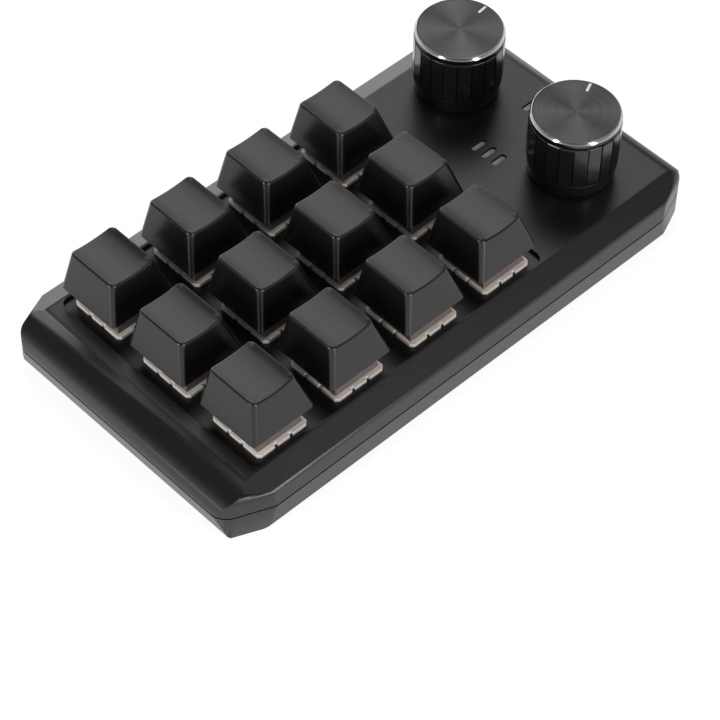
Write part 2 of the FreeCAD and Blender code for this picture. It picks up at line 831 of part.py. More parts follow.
# Keys
def make_keycap():
    """One keycap standing on its rim, dished on top and hollow, with its stem socket."""
    height = size("cap_height")
    body = doc.addObject("PartDesign::Body", "keycap")
    rim = sketch_on(body, "XY")
    base, shift = size("cap_base"), size("cap_base_shift")
    draw_rounded_rectangle(rim, base, base, size("cap_rim_corner_radius"), shift)
    crown = sketch_on(body, "XY", height)
    top_length, top_depth = size("cap_top_length"), size("cap_top_depth")
    draw_rounded_rectangle(crown, top_length, top_depth, size("cap_corner_radius"), size("cap_top_shift"))
    loft = body.newObject("PartDesign::AdditiveLoft", "keycap_form")
    loft.Profile = rim
    loft.Sections = [crown]
    loft.Ruled = True

    dish = sketch_on(body, "XZ")
    draw_circle(dish, 0.0, height + size("dish_radius") - size("dish_depth"), size("dish_radius"))
    pocket = body.newObject("PartDesign::Pocket", "keycap_dish")
    pocket.Profile = dish
    pocket.SideType = "Symmetric"
    pocket.Type = "ThroughAll"
    doc.recompute()
    lowest = (height - size("dish_depth") * 1.5).value
    round_edges(body, size("cap_top_radius"), lambda e: e.BoundBox.ZMin > lowest)

    wall = size("cap_wall") * 2
    cavity_height = height - size("cap_roof")
    share = cavity_height / height
    lower = sketch_on(body, "XY")
    draw_polygon(lower, rectangle(base - wall, base - wall, y=shift))
    upper = sketch_on(body, "XY", cavity_height)
    length = base - (base - top_length) * share - wall
    depth = base - (base - top_depth) * share - wall
    upper_shift = shift + (size("cap_top_shift") - shift) * share
    draw_polygon(upper, rectangle(length, depth, y=upper_shift))
    hollow = body.newObject("PartDesign::SubtractiveLoft", "keycap_hollow")
    hollow.Profile = lower
    hollow.Sections = [upper]
    hollow.Ruled = True

    socket = sketch_on(body, "XY", size("cap_seat_depth"))
    draw_circle(socket, 0.0, 0.0, size("cap_socket_radius"))
    pad(body, socket, cavity_height - size("cap_seat_depth") + OVERLAP)
    cross = sketch_on(body, "XY", size("cap_seat_depth"))
    gap = size("cross_clearance") * 2
    draw_polygon(cross, plus_sign(size("cross_length") + gap, size("cross_bar") + gap))
    hole = body.newObject("PartDesign::Pocket", "keycap_cross")
    hole.Profile = cross
    hole.Reversed = True
    bind(hole, Length=size("cross_height") + size("cross_end_gap"))
    doc.recompute()
    return body


def make_switch_base():
    """Lower housing of one switch: notched flange, snap-in box, spring barrel and post."""
    depth = size("switch_depth")
    side = size("switch_hole") - size("switch_clearance") * 2
    flange = prism("flange", "XY", flange_outline(), size("flange_thickness"), both_ways=False)
    put(flange, z=depth)
    block = box("switch_box", side, side, depth)
    outer = fuse("switch_outer", [flange, block])
    inner_side = side - size("switch_wall") * 2
    floor = size("switch_floor")
    inner = box("switch_inner", inner_side, inner_side, depth + size("flange_thickness"), z=floor)
    barrel_height = size("slider_floor_gap") + size("spring_well_depth") - size("barrel_gap")
    barrel_length = barrel_height + OVERLAP
    post_length = size("post_length") + OVERLAP
    pieces = [
        cut("switch_tub", outer, inner),
        cylinder("switch_barrel", size("barrel_radius"), barrel_length, z=floor - OVERLAP),
        cylinder("switch_post", size("post_radius"), post_length, z=-size("post_length")),
    ]
    solid = fuse("switch_base_solid", pieces)
    holes = []
    for number, (x, y) in enumerate(PIN_PLACES):
        radius = size("pin_radius") + size("pin_clearance")
        holes.append(cylinder(f"base_pin_hole_{number}", radius, floor + CUT_LEAD * 2, x, y, -CUT_LEAD))
    return cut("switch_base", solid, group("base_pin_holes", holes))


def flange_outline():
    """Corners of the switch flange, with cut corners and two notches on each side."""
    half_x, half_y = size("flange_length") / 2, size("flange_width") / 2
    corners = []
    for turn in range(4):
        along, across = (half_y, half_x) if turn % 2 else (half_x, half_y)
        side = flange_side(along, across)
        for _ in range(turn):
            side = [(-y, x) for x, y in side]
        corners += side
    return corners


def flange_side(along, across):
    """One side of the flange with its two notches, drawn as the front side."""
    cut_at = along - size("flange_corner")
    inner = size("notch_offset") - size("notch_width") / 2
    outer = size("notch_offset") + size("notch_width") / 2
    deep = across - size("notch_depth")
    side = [(-cut_at, -across)]
    for start, end in ((-outer, -inner), (inner, outer)):
        side += [(start, -across), (start, -deep), (end, -deep), (end, -across)]
    side.append((cut_at, -across))
    return side


def make_switch_cover():
    """Upper housing of one switch: a tapered hood with the slider's opening."""
    height = size("cover_height")
    wall = size("cover_wall") * 2
    base = (size("cover_base"), size("cover_base"))
    top = (size("cover_top_length"), size("cover_top_depth"))
    outer = tapered_block("cover_outer", base, top, height)
    inner_base = (base[0] - wall, base[1] - wall)
    inner_top = (top[0] - wall, top[1] - wall)
    inner = tapered_block("cover_inner", inner_base, inner_top, height - size("cover_wall"))
    gap = size("slider_clearance") * 2
    length, depth = size("slider_length") + gap, size("slider_depth") + gap
    opening = box("cover_opening", length, depth, height + CUT_LEAD)
    return cut("switch_cover", outer, group("cover_holes", [inner, opening]))


def make_switch_stem():
    """Slider with the cross that the keycap grips and the hollow for the spring."""
    height = COVER_TOP - SLIDER_BOTTOM
    block = box("slider_block", size("slider_length"), size("slider_depth"), height, z=-height)
    outline = plus_sign(size("cross_length"), size("cross_bar"))
    cross = prism("slider_cross", "XY", outline, size("cross_height") + OVERLAP, both_ways=False)
    put(cross, z=-OVERLAP)
    solid = fuse("slider_solid", [block, cross])
    well_depth = size("spring_well_depth") + CUT_LEAD
    well = cylinder("slider_well", size("spring_well_radius"), well_depth, z=-height - CUT_LEAD)
    return cut("switch_stem", solid, well)


def make_switch_spring():
    """Coil spring between the tub's floor and the slider's hollow, wound from quarter-turn arcs."""
    wire = size("spring_wire_radius")
    gap = size("spring_end_gap")
    height = SLIDER_BOTTOM + size("spring_well_depth") - TUB_FLOOR - wire * 2 - gap * 2
    radius = size("spring_radius").value
    quarters = round(size("spring_turns").value * 4)

    def on_helix(step):
        angle = step * math.pi / 2
        return Vector(radius * math.cos(angle), radius * math.sin(angle), height.value * step / quarters)

    arcs = [Part.Arc(on_helix(step), on_helix(step + 0.5), on_helix(step + 1)) for step in range(quarters)]
    path = Part.Wire([arc.toShape() for arc in arcs])
    section = Part.Circle(on_helix(0), path.Edges[0].tangentAt(path.Edges[0].FirstParameter), wire.value)
    pipe = Part.BRepOffsetAPI.MakePipeShell(path)
    pipe.add(Part.Wire([section.toShape()]))
    pipe.build()
    pipe.makeSolid()
    spring = doc.addObject("Part::Feature", "switch_spring")
    spring.Shape = pipe.shape()
    return put(spring, z=wire + gap)


def make_switch_pins():
    """The two contact pins of one switch."""
    pins = []
    z = size("switch_floor") + size("pin_head") - size("pin_length")
    for number, (x, y) in enumerate(PIN_PLACES):
        pins.append(cylinder(f"pin_{number}", size("pin_radius"), size("pin_length"), x, y, z))
    return group("switch_pin_pair", pins)


def copy_to(name, template, x, y, z):
    """The same solid again in another place."""
    return put(group(name, [template]), x, y, z)


def make_keys():
    """Every key's cap, slider, spring, housings and pins."""
    keycap = make_keycap()
    stem = make_switch_stem()
    spring = make_switch_spring()
    base = make_switch_base()
    cover = make_switch_cover()
    pins = make_switch_pins()
    bases, covers, pin_pairs = [], [], []
    for row, column, x, y in key_places():
        place = f"{row}_{column}"
        keep(f"keycap_{place}", copy_to(f"keycap_{place}", keycap, x, y, CAP_BOTTOM))
        keep(f"switch_stem_{place}", copy_to(f"switch_stem_{place}", stem, x, y, COVER_TOP))
        keep(f"switch_spring_{place}", copy_to(f"switch_spring_{place}", spring, x, y, TUB_FLOOR))
        bases.append(copy_to(f"base_{place}", base, x, y, BOARD_TOP))
        covers.append(copy_to(f"cover_{place}", cover, x, y, FLANGE_TOP))
        pin_pairs.append(copy_to(f"pins_{place}", pins, x, y, BOARD_TOP))
    keep("switch_bases", group("switch_bases", bases))
    keep("switch_covers", group("switch_covers", covers))
    keep("switch_pins", group("switch_pins", pin_pairs))


# Knobs and encoders
def revolved(name, profile):
    """A body turned about the upright axis from corners given as radius and height."""
    body = doc.addObject("PartDesign::Body", name)
    sketch = sketch_on(body, "XZ")
    draw_polygon(sketch, profile)
    turn = body.newObject("PartDesign::Revolution", f"{name}_turn")
    turn.Profile = sketch
    turn.ReferenceAxis = (sketch, ["V_Axis"])
    turn.Angle = 360
    doc.recompute()
    return body


def flatted_rod(name, radius, flat, plain_length, length):
    """A rod with one flat from plain_length up to its end."""
    rod = cylinder(f"{name}_rod", radius, length)
    side = radius * 3
    height = length - plain_length + CUT_LEAD
    block = box(f"{name}_flat", side, side, height, flat + side / 2, 0.0, plain_length)
    return cut(name, rod, block)


def make_knob_body():
    """Moulded knob standing on its skirt: flats, ribs between them, hub and bore."""
    top = size("knob_height") - size("knob_cap_thickness")
    neck = top - size("knob_neck_height")
    skirt = size("knob_skirt_height")
    corner_share = 1 / math.cos(math.pi / DRIVING_SIZES["knob_flats"])
    corner_radius = size("knob_flat_radius") * corner_share
    inner = size("knob_skirt_radius") - size("knob_wall")
    hub_bottom = ENCODER_TOP + size("bushing_height") + size("knob_hub_gap") - KNOB_BOTTOM
    hollow_top = top - size("knob_wall")
    profile = [
        (ZERO, hub_bottom),
        (size("knob_hub_radius"), hub_bottom),
        (size("knob_hub_radius"), hollow_top),
        (inner, hollow_top),
        (inner, ZERO),
        (size("knob_skirt_radius"), ZERO),
        (size("knob_skirt_top_radius"), skirt),
        (corner_radius, skirt),
        (corner_radius, neck),
        (size("knob_neck_radius"), neck),
        (size("knob_neck_radius"), top),
        (ZERO, top),
    ]
    turned = revolved("knob_turned", profile)
    flats = doc.addObject("Part::Prism", "knob_flat_sides")
    flats.Polygon = int(DRIVING_SIZES["knob_flats"])
    bind(flats, Circumradius=corner_radius, Height=size("knob_height"))
    faceted = common("knob_faceted", [turned, flats])

    gaps = []
    for number in range(int(DRIVING_SIZES["knob_flats"])):
        angle = 360.0 * number / DRIVING_SIZES["knob_flats"]
        radians = math.radians(angle)
        width = size("knob_rib_gap")
        gap = doc.addObject("Part::Box", f"rib_gap_{number}")
        bind(gap, Length=CUT_LEAD, Width=width, Height=neck - skirt + OVERLAP)
        gap.Placement.Rotation = Rotation(Vector(0, 0, 1), angle)
        reach = corner_radius - size("knob_rib_depth")
        x = reach * math.cos(radians) + width / 2 * math.sin(radians)
        y = reach * math.sin(radians) - width / 2 * math.cos(radians)
        gaps.append(put(gap, x, y, skirt))
    bore_radius = size("shaft_radius") + size("shaft_clearance")
    bore_flat = size("shaft_flat") + size("shaft_clearance")
    bore_end = ENCODER_TOP + size("shaft_length") + size("shaft_end_gap") - KNOB_BOTTOM
    bore_start = hub_bottom - CUT_LEAD
    bore = flatted_rod("knob_bore", bore_radius, bore_flat, ZERO, bore_end - bore_start)
    put(bore, z=bore_start)
    return cut("knob_moulding", faceted, group("knob_cuts", gaps + [bore]))


def make_knob_cap():
    """Turned metal disc with a bright chamfered rim and the pointer's groove."""
    thickness = size("knob_cap_thickness")
    radius = size("knob_cap_radius")
    profile = [
        (ZERO, ZERO),
        (radius, ZERO),
        (radius, thickness - size("knob_rim_height")),
        (radius - size("knob_rim_width"), thickness),
        (ZERO, thickness),
    ]
    disc = revolved("knob_disc", profile)
    return cut("knob_cap", disc, pointer_block("pointer_groove", CUT_LEAD))


def pointer_block(name, rise):
    """The pointer's inlay near the disc's edge, rising past the disc for the groove."""
    length = size("pointer_length")
    edge = size("knob_cap_radius") - size("knob_rim_width") - size("pointer_edge")
    z = size("knob_cap_thickness") - size("pointer_depth")
    height = size("pointer_depth") + rise
    return box(name, length, size("pointer_width"), height, edge - length / 2, 0.0, z)


def make_encoder_base():
    """Encoder housing on the board, with its bushing and solder pins."""
    height = size("encoder_height")
    block = box("encoder_block", size("encoder_length"), size("encoder_width"), height)
    bushing_height = size("bushing_height") + OVERLAP
    pieces = [block, cylinder("bushing", size("bushing_radius"), bushing_height, z=height - OVERLAP)]
    length = size("encoder_pin_length") + OVERLAP
    z = -size("encoder_pin_length")
    for number, (x, y) in enumerate(encoder_pin_places()):
        pieces.append(cylinder(f"encoder_pin_{number}", size("encoder_pin_radius"), length, x, y, z))
    solid = fuse("encoder_solid", pieces)
    room = height - size("encoder_floor") - size("encoder_roof")
    bore = size("shaft_radius") + size("shaft_clearance")
    holes = [
        cylinder("encoder_room", size("encoder_bore_radius"), room, z=size("encoder_floor")),
        cylinder("shaft_bore", bore, height + size("bushing_height"), z=size("encoder_floor") + OVERLAP),
    ]
    return cut("encoder_housing", solid, fuse("encoder_holes", holes))


def encoder_pin_places():
    """Three signal pins on one side and two push-switch pins on the other."""
    spacing = size("encoder_pin_spacing")
    side = size("encoder_length") / 2 - size("encoder_pin_inset")
    places = [(-side, spacing), (-side, ZERO), (-side, -spacing)]
    return places + [(side, spacing), (side, -spacing)]


def make_encoder_shaft():
    """Flatted shaft with the rotor disc at its foot."""
    foot = size("encoder_floor") + size("plunger_rise") + size("plunger_height") + size("plunger_gap")
    length = size("encoder_height") + size("shaft_length") - foot
    plain = length - size("shaft_flat_length")
    rod = flatted_rod("shaft_rod", size("shaft_radius"), size("shaft_flat"), plain, length)
    rotor = cylinder("rotor", size("rotor_radius"), size("rotor_thickness"))
    return fuse("shaft", [rod, rotor]), foot


def make_knobs():
    """Both knobs with their encoders, each pointer turned to its own angle."""
    moulding = make_knob_body()
    disc = make_knob_cap()
    inlay = pointer_block("pointer_inlay", 0.0)
    housing = make_encoder_base()
    shaft, foot = make_encoder_shaft()
    plunger = cylinder("plunger", size("plunger_radius"), size("plunger_height"))
    cap_z = KNOB_BOTTOM + size("knob_height") - size("knob_cap_thickness")
    for name, y in KNOB_PLACES.items():
        turning = {
            f"knob_body_{name}": (moulding, KNOB_BOTTOM),
            f"knob_cap_{name}": (disc, cap_z),
            f"knob_pointer_{name}": (inlay, cap_z),
            f"encoder_shaft_{name}": (shaft, BOARD_TOP + foot),
        }
        for part_name, (template, z) in turning.items():
            piece = group(part_name, [template])
            piece.Placement.Rotation = Rotation(Vector(0, 0, 1), DRIVING_SIZES[f"{name}_pointer_angle"])
            bind(piece, **{"Placement.Rotation.Angle": size(f"{name}_pointer_angle")})
            keep(part_name, put(piece, KNOB_X, y, z))
        keep(f"encoder_base_{name}", copy_to(f"encoder_base_{name}", housing, KNOB_X, y, BOARD_TOP))
        plunger_z = BOARD_TOP + size("encoder_floor") + size("plunger_rise")
        keep(f"encoder_plunger_{name}", copy_to(f"encoder_plunger_{name}", plunger, KNOB_X, y, plunger_z))


# Circuit board and electronics
def make_board():
    """Circuit board with holes for posts, pins and screws."""
    outline = case_outline(size("wall") + size("board_gap"))
    blank = prism("board_blank", "XY", outline, size("board_thickness"), both_ways=False)
    put(blank, z=BOARD_BOTTOM)
    depth = size("board_thickness") + CUT_LEAD * 2
    z = BOARD_BOTTOM - CUT_LEAD
    gap = size("hole_clearance")
    holes = []
    for row, column, x, y in key_places():
        place = f"{row}_{column}"
        holes.append(cylinder(f"post_hole_{place}", size("post_radius") + gap, depth, x, y, z))
        for number, (pin_x, pin_y) in enumerate(PIN_PLACES):
            name = f"pin_hole_{place}_{number}"
            holes.append(cylinder(name, size("pin_radius") + gap, depth, x + pin_x, y + pin_y, z))
    for name, knob_y in KNOB_PLACES.items():
        for number, (pin_x, pin_y) in enumerate(encoder_pin_places()):
            radius = size("encoder_pin_radius") + gap
            hole = cylinder(f"{name}_hole_{number}", radius, depth, KNOB_X + pin_x, knob_y + pin_y, z)
            holes.append(hole)
    for number, (x, y) in enumerate(SCREW_PLACES):
        radius = size("screw_radius") + size("screw_clearance")
        holes.append(cylinder(f"board_screw_hole_{number}", radius, depth, x, y, z))
    return keep("circuit_board", cut("circuit_board", blank, group("board_holes", holes)))


def make_board_parts():
    """Controller chip, indicator lamps and the cable inlet."""
    side = size("chip_size")
    board_edge = HALF_WIDTH - size("wall") - size("board_gap")
    chip_y = side / 2 + size("chip_edge_gap") - board_edge
    chip = box("controller_chip", side, side, size("chip_height"), KNOB_X, chip_y, BOARD_TOP)
    keep("controller_chip", chip)

    lamps = []
    length, width, height = size("led_length"), size("led_width"), size("led_height")
    for number, (x, y) in enumerate(INDICATOR_PLACES):
        lamps.append(box(f"lamp_{number}", length, width, height, x, y, BOARD_TOP))
    keep("indicator_leds", group("indicator_leds", lamps))

    wall = size("inlet_wall") * 2
    width, height, length = size("inlet_width"), size("inlet_height"), size("inlet_length")
    can = bar_along_y("inlet_can", width, height, length, INLET_X, INLET_Y, INLET_Z)
    mouth_y = INLET_Y + size("inlet_back_wall")
    mouth = bar_along_y("inlet_mouth", width - wall, height - wall, length, INLET_X, mouth_y, INLET_Z)
    tongue_length = size("tongue_length") + OVERLAP
    tongue_y = mouth_y - OVERLAP + tongue_length / 2
    tongue_z = INLET_Z - size("tongue_thickness") / 2
    tongue = box("inlet_tongue", size("tongue_width"), tongue_length, size("tongue_thickness"),
                 INLET_X, tongue_y, tongue_z)
    keep("usb_inlet", fuse("usb_inlet", [cut("inlet_shell", can, mouth), tongue]))


def make_windows():
    """Frosted light guides under the deck, one for each indicator slot."""
    length = size("indicator_length") - size("indicator_clearance") * 2
    width = size("indicator_width") - size("indicator_clearance") * 2
    height = DECK - size("indicator_recess") - ROOF + OVERLAP
    wide_length = size("indicator_length") + size("indicator_flange") * 2
    wide_width = size("indicator_width") + size("indicator_flange") * 2
    thick = size("indicator_flange_thickness")
    guides = []
    for number, (x, y) in enumerate(INDICATOR_PLACES):
        neck = stadium(f"guide_neck_{number}", length, width, height, x, y, ROOF - OVERLAP)
        flange = stadium(f"guide_flange_{number}", wide_length, wide_width, thick, x, y, ROOF - thick)
        guides.append(fuse(f"guide_{number}", [neck, flange]))
    return keep("indicator_windows", group("indicator_windows", guides))


def check_and_write():
    """Write one file for each sub-part once the whole model is sound."""
    doc.recompute()
    for thing in doc.Objects:
        if "Invalid" in thing.State or "Error" in thing.State:
            raise RuntimeError(f"{thing.Label} did not rebuild: {thing.State}")
    for name, thing in parts.items():
        shape = thing.Shape
        if shape.isNull() or not shape.isValid() or not shape.Solids:
            raise RuntimeError(f"{name} has no sound solid")
    os.makedirs("parts", exist_ok=True)
    for name, thing in parts.items():
        thing.Shape.exportStep(f"parts/{name}.step")
        box_size = thing.Shape.BoundBox
        print(
            f"{name}: {len(thing.Shape.Solids)} solid, "
            f"{box_size.XLength:.2f} x {box_size.YLength:.2f} x {box_size.ZLength:.2f} mm"
        )


make_top_shell()
make_bottom_shell()
make_screws()
make_feet()
make_keys()
make_knobs()
make_board()
make_board_parts()
make_windows()
check_and_write()
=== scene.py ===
# %% [markdown]
# # A macro keypad with two knobs
# Twelve keys and two pressable knobs sit on a shallow black case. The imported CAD
# model is the fixed frame: every piece made here stands where its CAD solid stands
# and rides on the same body, so the keys still travel and the knobs still turn.

# %% Load the frame
import json
import math

import bmesh
import bpy
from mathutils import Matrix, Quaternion, Vector

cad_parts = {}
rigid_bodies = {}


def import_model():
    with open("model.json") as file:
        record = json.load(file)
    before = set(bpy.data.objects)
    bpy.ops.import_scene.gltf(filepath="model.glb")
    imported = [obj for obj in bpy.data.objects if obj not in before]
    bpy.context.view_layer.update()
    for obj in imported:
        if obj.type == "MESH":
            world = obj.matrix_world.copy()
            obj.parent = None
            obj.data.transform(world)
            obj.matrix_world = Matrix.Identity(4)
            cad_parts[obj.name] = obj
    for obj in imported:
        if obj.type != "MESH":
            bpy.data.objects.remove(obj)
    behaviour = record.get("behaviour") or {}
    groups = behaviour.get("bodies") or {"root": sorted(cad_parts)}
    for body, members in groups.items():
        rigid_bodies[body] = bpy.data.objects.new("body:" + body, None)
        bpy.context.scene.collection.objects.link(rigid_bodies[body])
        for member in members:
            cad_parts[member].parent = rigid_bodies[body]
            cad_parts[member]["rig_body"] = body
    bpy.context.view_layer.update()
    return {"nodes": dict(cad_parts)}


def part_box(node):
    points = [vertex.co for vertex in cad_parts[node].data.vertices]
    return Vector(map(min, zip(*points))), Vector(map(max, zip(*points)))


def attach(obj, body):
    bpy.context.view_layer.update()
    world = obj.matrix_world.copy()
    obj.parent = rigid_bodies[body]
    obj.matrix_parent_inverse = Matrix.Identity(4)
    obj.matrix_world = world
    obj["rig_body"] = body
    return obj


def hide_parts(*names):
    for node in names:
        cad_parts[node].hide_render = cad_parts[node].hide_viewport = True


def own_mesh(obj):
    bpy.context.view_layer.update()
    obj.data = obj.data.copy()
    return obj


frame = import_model()
MM = 0.001

# %% [markdown]
# ## Camera
# The view comes from a long lens looking down from the front left. Its place,
# direction and roll were found by fitting the key tops, case edges and knobs.

# %% Camera
CAMERA_PLACE = Vector((-0.30916, -0.31288, 0.49114))
CAMERA_DIRECTION = Vector((0.455983, 0.459673, -0.762089))
CAMERA_ROLL = 1.342
CAMERA_LENS = 141.39

camera_data = bpy.data.cameras.new("camera")
camera_data.sensor_width = 36.0
camera_data.lens = CAMERA_LENS
camera = bpy.data.objects.new("camera", camera_data)
bpy.context.scene.collection.objects.link(camera)
camera.location = CAMERA_PLACE
camera.rotation_mode = "QUATERNION"
roll = Quaternion((0.0, 0.0, 1.0), math.radians(CAMERA_ROLL))
camera.rotation_quaternion = CAMERA_DIRECTION.to_track_quat("-Z", "Y") @ roll
bpy.context.scene.camera = camera
print("lens", round(camera_data.lens, 1), "mm")

# %% [markdown]
# ## Node trees written in Python
# Materials, groups and Geometry Nodes trees are all built from the same two
# moves: add a node, then fill each input with a number or with a link.


# %% Node helpers
def add(tree, kind, inputs=None, **settings):
    """Add a node, set its options, and fill each input with a value or a link."""
    made = tree.nodes.new(kind)
    for option, value in settings.items():
        setattr(made, option, value)
    for key, value in (inputs or {}).items():
        if isinstance(value, bpy.types.NodeSocket):
            tree.links.new(value, made.inputs[key])
        else:
            made.inputs[key].default_value = value
    return made


def calc(tree, operation, first, second=0.0):
    """One step of arithmetic, as the socket that holds its result."""
    return add(tree, "ShaderNodeMath", {0: first, 1: second}, operation=operation).outputs[0]


def vector_calc(tree, operation, *inputs):
    """One step of vector arithmetic, as the socket that holds its result."""
    return add(tree, "ShaderNodeVectorMath", dict(enumerate(inputs)), operation=operation).outputs[0]


def new_tree(name, kind, inputs, outputs):
    """A node group with named inputs and outputs, and its two end nodes."""
    tree = bpy.data.node_groups.new(name, kind)
    for label, (socket_kind, value) in inputs.items():
        socket = tree.interface.new_socket(label, in_out="INPUT", socket_type=socket_kind)
        if value is not None:
            socket.default_value = value
    for label, socket_kind in outputs.items():
        tree.interface.new_socket(label, in_out="OUTPUT", socket_type=socket_kind)
    return tree, tree.nodes.new("NodeGroupInput").outputs, tree.nodes.new("NodeGroupOutput")


FLOAT, VECTOR = "NodeSocketFloat", "NodeSocketVector"
GEOMETRY, MATERIAL, WHOLE = "NodeSocketGeometry", "NodeSocketMaterial", "NodeSocketInt"

# %% [markdown]
# ## Shared effects
# Moulded plastic takes the fine spark texture of its mould. One group makes that
# grain for every plastic here: a bump height and a slightly uneven roughness.


# %% Moulded grain
def make_moulded_grain():
    """Fine spark texture with soft, larger patches of rougher and smoother skin."""
    tree, given, out = new_tree(
        "moulded grain",
        "ShaderNodeTree",
        {
            "Grain per metre": (FLOAT, 9000.0),
            "Roughness": (FLOAT, 0.35),
            "Unevenness": (FLOAT, 0.05),
        },
        {"Height": FLOAT, "Roughness": FLOAT},
    )
    place = add(tree, "ShaderNodeTexCoord").outputs["Object"]
    grain = given["Grain per metre"]
    fine = add(tree, "ShaderNodeTexNoise", {"Vector": place, "Scale": grain, "Detail": 2.0})
    patches = add(tree, "ShaderNodeTexNoise", {"Vector": place, "Scale": 60.0, "Detail": 3.0})
    patch = calc(tree, "SUBTRACT", patches.outputs["Fac"], 0.5)
    spread = calc(tree, "MULTIPLY", patch, given["Unevenness"])
    tree.links.new(fine.outputs["Fac"], out.inputs["Height"])
    tree.links.new(calc(tree, "ADD", given["Roughness"], spread), out.inputs["Roughness"])
    return tree


MOULDED_GRAIN = make_moulded_grain()
print("group", MOULDED_GRAIN.name)


# %% [markdown]
# A turned metal face is covered in rings too fine to see one by one. Each ring
# leans the surface a little in or out, and that draws part of the bright wedges; the
# knob discs add painted highlight wedges to their colour as well. The group tilts the
# normal along the radius by a random amount for each ring.


# %% Turned rings
def make_turned_rings():
    """Normal of a lathe-turned face round an upright axis at Centre."""
    tree, given, out = new_tree(
        "turned rings",
        "ShaderNodeTree",
        {"Centre": (VECTOR, (0.0, 0.0, 0.0)), "Ring width": (FLOAT, 0.00004), "Tilt": (FLOAT, 0.2)},
        {"Normal": VECTOR},
    )
    place = add(tree, "ShaderNodeTexCoord").outputs["Object"]
    arm = vector_calc(tree, "SUBTRACT", place, given["Centre"])
    flat_arm = vector_calc(tree, "MULTIPLY", arm, (1.0, 1.0, 0.0))
    radius = add(tree, "ShaderNodeVectorMath", {0: flat_arm}, operation="LENGTH").outputs["Value"]
    ring = calc(tree, "FLOOR", calc(tree, "DIVIDE", radius, given["Ring width"]))
    chance = add(tree, "ShaderNodeTexWhiteNoise", {"W": ring}, noise_dimensions="1D").outputs["Value"]
    lean = calc(tree, "MULTIPLY", calc(tree, "SUBTRACT", chance, 0.5), given["Tilt"])
    outward = vector_calc(tree, "NORMALIZE", flat_arm)
    world = add(
        tree,
        "ShaderNodeVectorTransform",
        {"Vector": outward},
        vector_type="VECTOR",
        convert_from="OBJECT",
        convert_to="WORLD",
    ).outputs["Vector"]
    push = add(tree, "ShaderNodeVectorMath", {0: world, "Scale": lean}, operation="SCALE").outputs[0]
    normal = add(tree, "ShaderNodeNewGeometry").outputs["Normal"]
    tilted = vector_calc(tree, "ADD", normal, push)
    tree.links.new(vector_calc(tree, "NORMALIZE", tilted), out.inputs["Normal"])
    return tree


TURNED_RINGS = make_turned_rings()
print("group", TURNED_RINGS.name)

# %% [markdown]
# ## Materials
# Most of this object is near-black plastic that shows mainly as reflections, so
# its colour is very dark and the roughness does the work. Each finish is a short
# call: a colour, a roughness, a grain and its depth.


# %% Material helpers
LINE_SPREAD = 0.16


def new_material(name, colour, roughness, metallic=0.0):
    """A Principled material whose constants sit on the shader's own sockets."""
    made = bpy.data.materials.new(name)
    made.use_nodes = True
    shader = made.node_tree.nodes["Principled BSDF"]
    shader.inputs["Base Color"].default_value = (*colour, 1.0)
    shader.inputs["Roughness"].default_value = roughness
    shader.inputs["Metallic"].default_value = metallic
    return made, made.node_tree, shader


def moulded(name, colour, roughness, depth, grain=9000.0, unevenness=0.05):
    """Plastic, rubber or laminate with the moulded grain as its skin."""
    made, tree, shader = new_material(name, colour, roughness)
    skin = add(tree, "ShaderNodeGroup", node_tree=MOULDED_GRAIN)
    skin.inputs["Grain per metre"].default_value = grain
    skin.inputs["Roughness"].default_value = roughness
    skin.inputs["Unevenness"].default_value = unevenness
    height = skin.outputs["Height"]
    bump = add(tree, "ShaderNodeBump", {"Height": height, "Distance": depth, "Strength": 1.0})
    tree.links.new(skin.outputs["Roughness"], shader.inputs["Roughness"])
    tree.links.new(bump.outputs["Normal"], shader.inputs["Normal"])
    return made


def brushed(name, colour, roughness, stretch=(400.0, 400.0, 9000.0), depth=0.000004):
    """Metal with fine draw lines: noise stretched along one axis, as bump and tone."""
    made, tree, shader = new_material(name, colour, roughness, metallic=1.0)
    place = add(tree, "ShaderNodeTexCoord").outputs["Object"]
    drawn = add(tree, "ShaderNodeMapping", {"Vector": place, "Scale": stretch}, vector_type="POINT")
    lines = drawn.outputs["Vector"]
    noise = add(tree, "ShaderNodeTexNoise", {"Vector": lines, "Scale": 1.0, "Detail": 3.0}).outputs["Fac"]
    bump = add(tree, "ShaderNodeBump", {"Height": noise, "Distance": depth, "Strength": 1.0})
    tree.links.new(bump.outputs["Normal"], shader.inputs["Normal"])
    spread = calc(tree, "MULTIPLY", noise, LINE_SPREAD)
    tree.links.new(calc(tree, "ADD", spread, roughness - LINE_SPREAD / 2), shader.inputs["Roughness"])
    return made


# %% Plastics and rubber
case_plastic = moulded("case_plastic", (0.0065, 0.0065, 0.0068), 0.34, 0.000006)
keycap_plastic = moulded("keycap_plastic", (0.0062, 0.0062, 0.0065), 0.26, 0.000005, grain=12000.0)
housing_plastic = moulded("housing_plastic", (0.78, 0.73, 0.66), 0.38, 0.000002)
hood_plastic = moulded("hood_plastic", (0.13, 0.1, 0.09), 0.4, 0.000002)
stem_plastic = moulded("stem_plastic", (0.05, 0.012, 0.01), 0.4, 0.000003)
knob_plastic = moulded("knob_plastic", (0.006, 0.006, 0.0065), 0.16, 0.000001, unevenness=0.03)
foot_rubber = moulded("foot_rubber", (0.012, 0.012, 0.012), 0.75, 0.00002, grain=5000.0)
lamp_white = moulded("lamp_white", (0.75, 0.75, 0.7), 0.4, 0.000002)
window_plastic = moulded("window_plastic", (0.42, 0.42, 0.43), 0.5, 0.000004)
pointer_white = moulded("pointer_white", (0.9, 0.9, 0.9), 0.45, 0.000002)
chip_epoxy = moulded("chip_epoxy", (0.015, 0.015, 0.016), 0.6, 0.00001, grain=14000.0)
print("plastics", len(bpy.data.materials))

